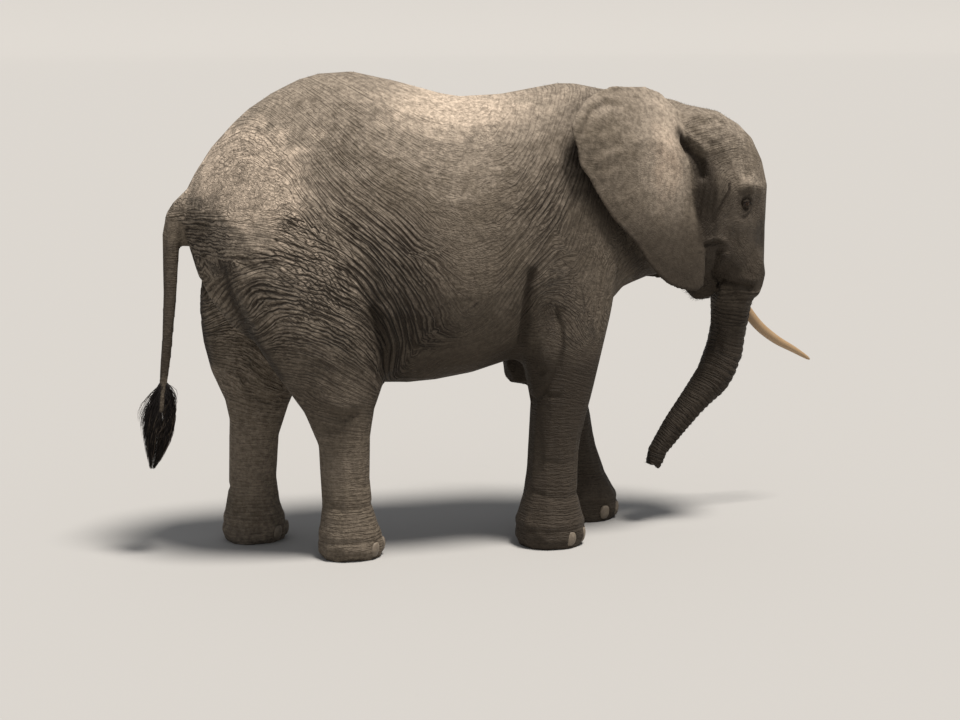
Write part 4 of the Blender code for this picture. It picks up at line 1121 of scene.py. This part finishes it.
def crossing_of(points, soft):
    """How strongly slanting furrows cross the lie and cut it into pads."""
    return np.clip(0.28 + spots_of("crossing", points, soft) + 0.2 * soft["head"] - 0.3 * soft["ear"], 0, 1)


def net_of(points, normals, soft):
    """Depth of the net of small cracks, in metres."""
    net = 0.0011 + spots_of("net", points, soft) - 0.0005 * ramp(normals[:, 2], 0.5, 0.95)
    net += 0.0004 * soft["head"] - 0.0006 * soft["ear"] + 0.0002 * soft["trunk"] - 0.0004 * soft["shin"]
    return np.clip(net, 0.0002, 0.003)


def make_skin(sizes):
    """One skin over all the flesh and both ears."""
    whole = merged_copy(FLESH + EARS + ["eye_right", "eye_left"], GROW)
    tail_end(whole)
    skin = mesh_piece("skin", whole)
    remesh = skin.modifiers.new("join", "REMESH")
    remesh.mode = "VOXEL"
    remesh.voxel_size = sizes.voxel
    applied(skin)
    keep_largest(skin)
    links = beside(skin.data)
    points = points_of(skin.data)
    zones = Zones()
    hard = zones.hard(points)
    soft = zones.soft(hard, links, 10)
    thin = np.clip(soft["ear"] + soft["tail"], 0, 1)
    set_points(skin.data, evened(points, links, sizes.evening, 1 - 0.35 * thin))

    lies = (Lie(BODY_LIE), Lie(HEAD_LIE))
    carver = Carver(skin.data, hard, soft)
    carve_ears(carver)
    carver.carve(BODY_FOLDS)
    carver.refresh()
    carver.carve(HEAD_FOLDS, eye_offset(0, 0), legs=False)
    carver.refresh()
    carve_trunk(carver)
    carver.refresh()
    carve_feet(carver)
    carve_cleft(carver)
    carver.refresh()

    skin.data.calc_loop_triangles()
    thinner = skin.modifiers.new("thinner", "DECIMATE")
    thinner.ratio = sizes.triangles / len(skin.data.loop_triangles)
    thinner.use_collapse_triangulate = True
    group = skin.vertex_groups.new(name="coarse")
    coarse = coarseness(carver)
    for level in np.unique(coarse).tolist():
        group.add(np.nonzero(coarse == level)[0].tolist(), level, "REPLACE")
    thinner.vertex_group = "coarse"
    thinner.vertex_group_factor = sizes.coarse
    applied(skin)
    refined(skin, EYE.values(), FINER)
    set_points(skin.data, set_lids(points_of(skin.data)))
    finish_skin(skin, zones, lies)
    return skin


def coarseness(carver):
    """How far each place may be thinned: little on the head, the trunk and above all the ears' thin rims."""
    radius, _ = ear_place(carver.points)
    soft = carver.soft
    kept = 0.2 * soft["head"] + 0.2 * soft["trunk"] + soft["ear"] * (0.1 + 0.9 * ramp(radius, 0.40, 0.52))
    return np.round(1 - np.clip(kept, 0, 1), 1)


def inside_zone(soft):
    """1 well inside a zone and 0 at its borders, where two lies would break; legs and body share one lie."""
    body = soft["body"] + soft["shin"] + soft["foot"]
    kept = body**2 + sum(soft[zone] ** 2 for zone in ("head", "trunk", "tail", "ear"))
    return ramp(kept, 0.5, 0.95)


def finish_skin(skin, zones, lies):
    """Lays the attributes that the hide's material reads."""
    mesh = skin.data
    points, normals, links = points_of(mesh), normals_of(mesh), beside(mesh)
    hard = zones.hard(points)
    soft = zones.soft(hard, links, 8)
    _, _, _, depth = lay_of(points, hard, lies)
    depth *= inside_zone(soft)
    for centre in EYE.values():
        depth *= 0.15 + 0.85 * ramp(np.linalg.norm(points - centre, axis=1), 0.025, 0.06)
    net = net_of(points, normals, soft)
    set_attribute(mesh, "crossing", crossing_of(points, soft))
    set_attribute(mesh, "tint_and_painted_light", tints_and_painted_light_of(points, normals, soft, wander(points, 0.35, 1)))
    # each face takes its lie from one zone, so that no face mixes two
    corners = read(mesh.loops, "vertex_index", 1, np.int32)[:, 0]
    totals = read(mesh.polygons, "loop_total", 1, np.int32)[:, 0]
    centres = read(mesh.polygons, "center")
    face_zone = zones.hard(centres)
    octaves = np.repeat(octaves_of(centres, face_zone, lies), totals)
    first, second, blend, _ = lay_of(points[corners], np.repeat(face_zone, totals), lies, octaves)
    set_attribute(mesh, "lay", first, domain="CORNER")
    set_attribute(mesh, "lay_next", second, domain="CORNER")
    set_attribute(mesh, "relief", np.stack([depth[corners], net[corners], blend], 1), domain="CORNER")
    mesh.shade_smooth()


def keep_largest(piece):
    """Drops every loose body but the largest."""
    tree = bpy.data.node_groups.new("count_bodies", "GeometryNodeTree")
    tree.interface.new_socket("Geometry", in_out="INPUT", socket_type="NodeSocketGeometry")
    tree.interface.new_socket("Geometry", in_out="OUTPUT", socket_type="NodeSocketGeometry")
    g = Graph(tree)
    body = g.node("GeometryNodeInputMeshIsland")
    stored = g.node("GeometryNodeStoreNamedAttribute", {"data_type": "FLOAT"},
                    {"Geometry": g.node("NodeGroupInput"), "Name": "body", "Value": body})
    g.feed(tree.nodes.new("NodeGroupOutput").inputs[0], stored)
    piece.modifiers.new("bodies", "NODES").node_group = tree
    applied(piece)
    bpy.data.node_groups.remove(tree)
    label = read(piece.data.attributes["body"].data, "value", 1)[:, 0]
    names, counts = np.unique(label, return_counts=True)
    if len(names) > 1:
        shape = bmesh.new()
        shape.from_mesh(piece.data)
        shape.verts.ensure_lookup_table()
        loose = [shape.verts[i] for i in np.nonzero(label != names[counts.argmax()])[0]]
        bmesh.ops.delete(shape, geom=loose, context="VERTS")
        shape.to_mesh(piece.data)
        shape.free()
    piece.data.attributes.remove(piece.data.attributes["body"])


# ---------------------------------------------------------------- eyes, tusk, nails
def make_eye(side, word):
    """An eyeball with a cornea that stands a little proud round the line of sight."""
    shape = bmesh.new()
    bmesh.ops.create_uvsphere(shape, u_segments=48, v_segments=32, radius=EYE_RADIUS)
    look, _, up = eye_axes(side)
    turn = look.to_track_quat("Z", "Y").to_matrix().to_4x4()
    bmesh.ops.transform(shape, matrix=Matrix.Translation(EYE[side]) @ turn, verts=shape.verts)
    gaze = []
    for vertex in shape.verts:
        off = vertex.co - EYE[side]
        out = off.dot(look)
        flat = off - out * look
        if out > 0:
            vertex.co += look * CORNEA * math.exp(-((flat.length / CORNEA_WIDE) ** 2))
        gaze.append((flat.length if out > 0 else 0.02, math.atan2(flat.dot(up), flat.dot(look.cross(up))), 0))
    bmesh.ops.recalc_face_normals(shape, faces=shape.faces)
    return marked_piece("eye_ball_" + word, shape, "gaze", gaze)


def marked_piece(name, shape, mark, values):
    """A smooth piece with what its material reads at each vertex."""
    piece = mesh_piece(name, shape)
    set_attribute(piece.data, mark, values)
    piece.data.shade_smooth()
    return piece


def make_tusk():
    """The tusk as a smooth horn: a tube cut into rings, each laid on the tusk's line."""
    rows = np.array(TUSK_LINE)
    ends = np.vstack([2 * rows[0] - rows[1], rows, 2 * rows[-1] - rows[-2]])
    made = []
    for p0, p1, p2, p3 in zip(ends, ends[1:], ends[2:], ends[3:]):
        for t in np.arange(6) / 6:
            made.append(0.5 * (2 * p1 + (p2 - p0) * t + (2 * p0 - 5 * p1 + 4 * p2 - p3) * t**2
                               + (3 * p1 - p0 - 3 * p2 + p3) * t**3))
    rows = np.array(made + [rows[-1]])
    way = np.gradient(rows[:, :3], axis=0)
    walked = np.append(0, np.linalg.norm(np.diff(rows[:, :3], axis=0), axis=1).cumsum())
    shape = bmesh.new()
    bmesh.ops.create_cone(shape, cap_ends=True, segments=28, radius1=1, radius2=1, depth=2)
    long = [edge for edge in shape.edges if abs(edge.verts[0].co.z - edge.verts[1].co.z) > 1]
    bmesh.ops.subdivide_edges(shape, edges=long, cuts=len(rows) - 2, use_grid_fill=True)
    marks = []
    for vertex in shape.verts:
        x, y, z = vertex.co
        i = round((z + 1) / 2 * (len(rows) - 1))
        turn = Vector(way[i]).to_track_quat("Z", "Y").to_matrix()
        vertex.co = Vector(rows[i, :3]) + turn @ Vector((x, y, 0)) * float(rows[i, 3])
        marks.append((walked[i], math.atan2(y, x) / math.pi, 0))
    bmesh.ops.recalc_face_normals(shape, faces=shape.faces)
    return marked_piece("tusk_horn", shape, "run", marks)


def make_nail(node):
    """A nail rounded from its CAD dome, with a worn lower edge."""
    shape = merged_copy([node])
    bmesh.ops.subdivide_edges(shape, edges=shape.edges, cuts=2, use_grid_fill=True, smooth=0.9)
    for _ in range(4):
        smooth(shape, shape.verts, 0.4)
    low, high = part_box(node)
    middle = (low + high) / 2
    for v in shape.verts:
        share = (v.co.z - low.z) / (high.z - low.z)
        v.co.z = low.z + (high.z - low.z) * min(max(share * 1.04, 0.06), 0.97)
        v.co.xy = middle.xy + (v.co.xy - middle.xy) * (1.10 - 0.06 * share)
    bmesh.ops.triangulate(shape, faces=shape.faces)
    bmesh.ops.recalc_face_normals(shape, faces=shape.faces)
    piece = mesh_piece(node.replace("nail", "toenail"), shape)
    piece.data.shade_smooth()
    return piece


# ---------------------------------------------------------------- hair
def hairs(name, strands):
    """Strands as one mesh: each is its points, root radius, place on the unwrap, and a pick from 0 to 1."""
    shape = bmesh.new()
    unwrap = shape.loops.layers.uv.new("OFBake")
    marks = shape.verts.layers.float_vector.new("strand")
    for points, radius, (u, v), pick in strands:
        rings = []
        for i, point in enumerate(points):
            share = i / (len(points) - 1)
            way = (points[min(i + 1, len(points) - 1)] - points[max(i - 1, 0)]).normalized()
            turn = way.to_track_quat("Z", "Y").to_matrix()
            size = radius * (1 - HAIR_TAPER * share**1.5)
            rings.append([])
            for k in range(HAIR_SIDES):
                angle = 2 * math.pi * k / HAIR_SIDES
                off = Vector((size * math.cos(angle), size * math.sin(angle), 0))
                vertex = shape.verts.new(point + turn @ off)
                vertex[marks] = (share, pick, k / HAIR_SIDES)
                rings[-1].append(vertex)
        corners = []
        for low, high in zip(rings, rings[1:]):
            for k in range(HAIR_SIDES):
                after = (k + 1) % HAIR_SIDES
                corners.append((low[k], low[after], high[after], high[k]))
        for face in map(shape.faces.new, corners + [rings[0][::-1], rings[-1]]):
            face.smooth = True
            for loop in face.loops:
                mark = loop.vert[marks]
                loop[unwrap].uv = (u + PATCH * (mark.x - 0.5), v + PATCH * (mark.z - 0.5))
    return mesh_piece(name, shape)


def make_tuft(draw):
    """Stiff hairs along both edges of the tail's end, that spread into a leaf and close at its tip."""
    low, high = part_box("tail_tuft")
    tail_x, tail_z = np.array(TAIL_LINE).T
    strands = []
    for _ in range(TUFT_HAIRS):
        edge = draw.choice((-1, 1))
        down = draw.random() ** 0.8  # 0 at the top of the tuft and 1 at the tail's end
        root_z = high.z + 0.010 - 0.17 * down
        root_x = np.interp(-root_z, -tail_z, tail_x)
        angle = draw.normal(0, 0.50) + (0 if edge > 0 else math.pi)
        thick = 0.017 - 0.009 * down
        root = Vector((root_x + thick * math.cos(angle), thick * math.sin(angle), root_z))
        spread = edge * 0.105 * draw.random() ** 0.55 * (1.0 - 0.45 * down) + draw.normal(0, 0.008) * down
        side = draw.normal(0, 0.010)
        end_z = min(low.z + (0.015 + 0.27 * draw.random() ** 1.6) * (1 - 0.3 * down), root_z - 0.08)
        end = Vector((TUFT_TIP + spread * (0.10 + 2.1 * max(end_z - low.z, 0)), side * 0.7, end_z))
        bow = Vector((root.x + spread, side * 1.6, root.z - 0.42 * (root.z - end.z)))
        points = [root * (1 - t) ** 2 + bow * (2 * t * (1 - t)) + end * t * t
                  for t in np.linspace(0, 1, 8).tolist()]
        for point in points[1:]:
            point += Vector((draw.normal(0, 0.0016), draw.normal(0, 0.0016), 0))
        patch = (0.5 + 0.45 * math.atan2(root.y, root.x - root_x) / math.pi, 0.1 + 0.8 * down)
        strands.append((points, 0.0011 + 0.0006 * draw.random(), patch, draw.random()))
    return hairs("tuft_hair", strands)


def make_lashes(draw):
    """Long lashes on the upper lids."""
    strands = []
    for side, centre in EYE.items():
        look, ahead, up = eye_axes(side)
        for i in range(LASHES):
            share = -1 + 2 * (i + 0.4 * draw.random()) / LASHES
            u = share * LID_LONG * 0.95
            v = LID_UPPER * (1 - abs(share) ** LID_POWER) ** (1 / LID_POWER) + 0.0012
            out = math.sqrt(max((EYE_RADIUS + LID_THICK) ** 2 - (u * u + v * v), 0))
            root = centre + u * ahead + v * up + look * out
            length = 0.022 + 0.010 * draw.random()
            way = (look * 0.8 + ahead * (0.7 * share + 0.1) - up * 0.25).normalized()
            points = [root + way * (length * t) - up * (0.45 * length * t * t)
                      for t in (0, 0.25, 0.5, 0.75, 1)]
            patch = (0.25 + 0.5 * (side > 0) + 0.1 * share, 0.5)
            strands.append((points, HAIR, patch, draw.random()))
    return hairs("eye_lashes", strands)


def make_bristles(skin, draw):
    """Sparse short bristles on the chin, crown, back and trunk."""
    points, normals = points_of(skin.data), normals_of(skin.data)
    x, y, z = points.T
    chin = spot(points, *eye_offset(-0.17, -0.42), 0.08, 0.05) * (np.abs(y) < 0.12)
    crown = ramp(z, 1.90, 2.05) * ramp(x, 0.70, 0.95) * (np.abs(y) < 0.2)
    spine = 0.35 * ramp(normals[:, 2], 0.75, 0.95) * (z > 1.9)
    trunk = 0.25 * (x > 0.7) * (np.abs(y) < 0.12) * (z < 1.1)
    low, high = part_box("ear_right")
    on_ear = (x > low.x - 0.03) * (x < high.x) * (z > low.z) * (np.abs(y) > -high.y - 0.02)
    weight = (2.5 * chin + 0.8 * crown + spine + trunk) * (1 - on_ear) * (z >= 0.25)
    for centre in EYE.values():
        weight *= np.linalg.norm(points - centre, axis=1) >= 0.06
    low, high = CAD_BOX
    strands = []
    for i in draw.choice(len(points), BRISTLES, replace=False, p=weight / weight.sum()):
        root, normal = Vector(points[i]), Vector(normals[i])
        lean = BRISTLE_LEAN - BRISTLE_LEAN.dot(normal) * normal
        length = (0.008 + 0.014 * draw.random()) * (1 if chin[i] > 0.2 else 0.5)
        way = (normal * 0.55 + lean + Vector(draw.normal(0, 0.18, 3))).normalized()
        line = [root - 0.001 * normal + way * (length * t) + lean * (0.3 * length * t * t)
                for t in np.linspace(0, 1, 4).tolist()]
        if line[-1].z > high.z + 0.004:
            continue
        patch = [0.05 + 0.9 * (root[axis] - low[axis]) / (high[axis] - low[axis]) for axis in (0, 2)]
        strands.append((line, HAIR, patch, draw.random()))
    return hairs("bristles", strands)


# ---------------------------------------------------------------- settings, operators and panel
def colour_property(name, description, default):
    return FloatVectorProperty(name=name, description=description, default=default, subtype="COLOR", min=0,
                               max=1)


class ElephantSizes(bpy.types.PropertyGroup):
    """Sizes of the skin's mesh and relief."""

    voxel: FloatProperty(name="Voxel", description="Grid that joins the flesh", default=0.0074, unit="LENGTH")
    evening: IntProperty(name="Evening", description="Rounds of evening of the skin", default=26,
                         subtype="UNSIGNED")
    coarse: FloatProperty(name="Coarse", description="How much thinning spares the head and ears",
                          default=0.0001, subtype="FACTOR")
    triangles: IntProperty(name="Triangles", description="Triangles of the skin away from the eyes",
                           default=168000, subtype="UNSIGNED")


class ElephantTones(bpy.types.PropertyGroup):
    """Colours of the skin, tusk, nails and hair."""

    hide: colour_property("Hide", "Clean skin", (0.240, 0.196, 0.150))
    dark_hide: colour_property("Dark hide", "Darker patches of skin", (0.178, 0.143, 0.104))
    # The crease colour is painted shade: it darkens the creases, the cracks and the dark field's shaded
    # places, and gives some darker speckle at random.
    crease: colour_property("Crease", "Skin deep in the creases", (0.026, 0.0180, 0.0108))
    # The dust colour also paints light on the brow.
    dust: colour_property("Dust", "Dusty skin", (0.385, 0.318, 0.248))
    pale_dust: colour_property("Pale dust", "Thick dry dust on the back and the rump", (0.74, 0.60, 0.465))
    pink: colour_property("Pink", "Bare pinkish skin of the ears", (0.345, 0.238, 0.165))
    eye: colour_property("Eye", "Light rays of the iris", (0.070, 0.033, 0.012))
    eye_dark: colour_property("Dark eye", "Dark rays of the iris", (0.020, 0.011, 0.006))
    # The ivory colour is a dark tan, partly stain and partly painted shade.
    ivory: colour_property("Ivory", "Clean ivory", (0.36, 0.21, 0.09))
    ivory_stain: colour_property("Ivory stain", "Stained ivory near the lip", (0.18, 0.11, 0.055))
    nail: colour_property("Nail", "Horn of the nails", (0.15, 0.118, 0.085))
    hair: colour_property("Hair", "Dark hair", (0.014, 0.011, 0.010))
    hair_dusty: colour_property("Dusty hair", "Dusty hairs", (0.150, 0.115, 0.085))


class ElephantStage(bpy.types.PropertyGroup):
    """The camera and the light."""

    camera: FloatVectorProperty(name="Camera", description="Where the camera stands",
                                default=(-2.505, -8.983, 2.43), subtype="TRANSLATION", unit="LENGTH")
    heading: FloatProperty(name="Heading", description="Turn of the view from straight across, ahead",
                           default=math.radians(15), subtype="ANGLE")
    pitch: FloatProperty(name="Pitch", description="How far the camera looks down",
                         default=math.radians(9.65), subtype="ANGLE")
    lens: FloatProperty(name="Lens", description="Focal length in mm on a 36 mm frame", default=75.0,
                        unit="CAMERA")
    sun: FloatVectorProperty(name="Light from", description="Way to the main light",
                             default=(0.20, -0.24, 0.95), subtype="DIRECTION")
    floor: colour_property("Floor", "The floor and what rises behind it", (0.42, 0.41, 0.395))
    sky: colour_property("Sky", "Colour of the light from all round", (0.93, 0.955, 1.0))
    sunlight: colour_property("Sunlight", "Colour of the main light", (1.0, 0.955, 0.90))
    key: FloatProperty(name="Key", description="Strength of the main light", default=4.6, unit="POWER")
    softness: FloatProperty(name="Softness", description="Width of the main light", default=math.radians(16),
                            subtype="ANGLE")
    fill: FloatProperty(name="Fill", description="Strength of the light from all round", default=0.34,
                        subtype="FACTOR")


def dressed(piece, material, slot, *nodes):
    """Gives a finished piece its material and body, and hides the nodes it stands for; the slot is not used.
    """
    piece.data.materials.clear()
    piece.data.materials.append(material)
    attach(piece, "root")
    if nodes:
        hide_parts(*nodes)
    return piece


class ELEPHANT_OT_skin(bpy.types.Operator):
    """Make the one skin over the body, head, legs, trunk, tail and ears"""

    bl_idname = "elephant.skin"
    bl_label = "Skin"

    def execute(self, context):
        tones = context.scene.elephant_tones
        skin = make_skin(context.scene.elephant_sizes)
        dressed(skin, hide_material(tones), "hide", *FLESH, *EARS)
        return {"FINISHED"}


class ELEPHANT_OT_eyes(bpy.types.Operator):
    """Make the two eyeballs behind their lids"""

    bl_idname = "elephant.eyes"
    bl_label = "Eyes"

    def execute(self, context):
        material = eye_material(context.scene.elephant_tones)
        for side, word in SIDES:
            dressed(make_eye(side, word), material, "eye", "eye_" + word)
        return {"FINISHED"}


class ELEPHANT_OT_tusk(bpy.types.Operator):
    """Make the left tusk"""

    bl_idname = "elephant.tusk"
    bl_label = "Tusk"

    def execute(self, context):
        dressed(make_tusk(), ivory_material(context.scene.elephant_tones), "ivory", "tusk_left")
        return {"FINISHED"}


class ELEPHANT_OT_nails(bpy.types.Operator):
    """Make the nails of all four feet"""

    bl_idname = "elephant.nails"
    bl_label = "Nails"

    def execute(self, context):
        material = nail_material(context.scene.elephant_tones)
        for node in sorted(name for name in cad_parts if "nail" in name):
            dressed(make_nail(node), material, "nail", node)
        return {"FINISHED"}


class ELEPHANT_OT_hair(bpy.types.Operator):
    """Make the tail's tuft, the lashes and the sparse bristles"""

    bl_idname = "elephant.hair"
    bl_label = "Hair"

    def execute(self, context):
        material = hair_material(context.scene.elephant_tones)
        draw = np.random.default_rng(7)
        dressed(make_tuft(draw), material, "tail_hair", "tail_tuft")
        dressed(make_lashes(draw), material, "tail_hair")
        dressed(make_bristles(bpy.data.objects["skin"], draw), material, "tail_hair")
        return {"FINISHED"}


class ELEPHANT_OT_stage(bpy.types.Operator):
    """Make the floor, the lights and the camera"""

    bl_idname = "elephant.stage"
    bl_label = "Stage"

    def execute(self, context):
        settings = context.scene.elephant_stage
        shape = bmesh.new()
        bmesh.ops.create_grid(shape, x_segments=1, y_segments=1, size=FLOOR)
        far = [edge for edge in shape.edges if min(vertex.co.y for vertex in edge.verts) > 0.99 * FLOOR]
        bmesh.ops.spin(shape, geom=far + list(far[0].verts), cent=(0, FLOOR, FLOOR / 4), axis=(1, 0, 0),
                       angle=math.pi / 2, steps=24)
        shape.normal_update()
        for face in shape.faces:
            face.smooth = True
            if face.normal.z < face.normal.y:
                face.normal_flip()
        floor = mesh_piece("floor", shape)
        graph, material = surface_of("studio_floor")
        floor.data.materials.append(
            finished(graph, material, Base_Color=settings.floor, Roughness=1, Specular_IOR_Level=0))

        world = bpy.data.worlds.new("studio")
        world.use_nodes = True
        background = world.node_tree.nodes["Background"]
        background.inputs["Color"].default_value = (*settings.sky, 1)
        background.inputs["Strength"].default_value = settings.fill
        context.scene.world = world
        light = bpy.data.lights.new("key", "SUN")
        light.energy, light.angle, light.color = settings.key, settings.softness, settings.sunlight
        linked("key", light).rotation_euler = (-Vector(settings.sun)).to_track_quat("-Z", "Y").to_euler()

        camera = bpy.data.cameras.new("camera")
        camera.lens, camera.sensor_width = settings.lens, 36.0
        context.scene.camera = stand = linked("camera", camera)
        stand.location = settings.camera
        stand.rotation_euler = (math.pi / 2 - settings.pitch, 0, -settings.heading)
        context.scene.view_settings.view_transform = "Standard"
        return {"FINISHED"}


class ELEPHANT_PT_panel(bpy.types.Panel):
    """The elephant's pieces"""

    bl_label = "Elephant"
    bl_space_type = "VIEW_3D"
    bl_region_type = "UI"
    bl_category = "Elephant"

    def draw(self, context):
        for operator in OPERATORS:
            self.layout.operator(operator.bl_idname)
        for group in (getattr(context.scene, name) for name, _ in GROUPS):
            for name in group.bl_rna.properties.keys():
                if name not in ("rna_type", "name"):
                    self.layout.prop(group, name)


OPERATORS = (ELEPHANT_OT_skin, ELEPHANT_OT_eyes, ELEPHANT_OT_tusk, ELEPHANT_OT_nails, ELEPHANT_OT_hair,
             ELEPHANT_OT_stage)
GROUPS = (("elephant_sizes", ElephantSizes), ("elephant_tones", ElephantTones),
          ("elephant_stage", ElephantStage))


def register():
    for name, group in GROUPS:
        bpy.utils.register_class(group)
        setattr(bpy.types.Scene, name, PointerProperty(type=group))
    for operator in OPERATORS:
        bpy.utils.register_class(operator)
    bpy.utils.register_class(ELEPHANT_PT_panel)


def unregister():
    bpy.utils.unregister_class(ELEPHANT_PT_panel)
    for operator in reversed(OPERATORS):
        bpy.utils.unregister_class(operator)
    for name, group in reversed(GROUPS):
        delattr(bpy.types.Scene, name)
        bpy.utils.unregister_class(group)


def main():
    register()
    for word in ("skin", "eyes", "tusk", "nails", "hair", "stage"):
        getattr(bpy.ops.elephant, word)()


if __name__ == "__main__":
    main()
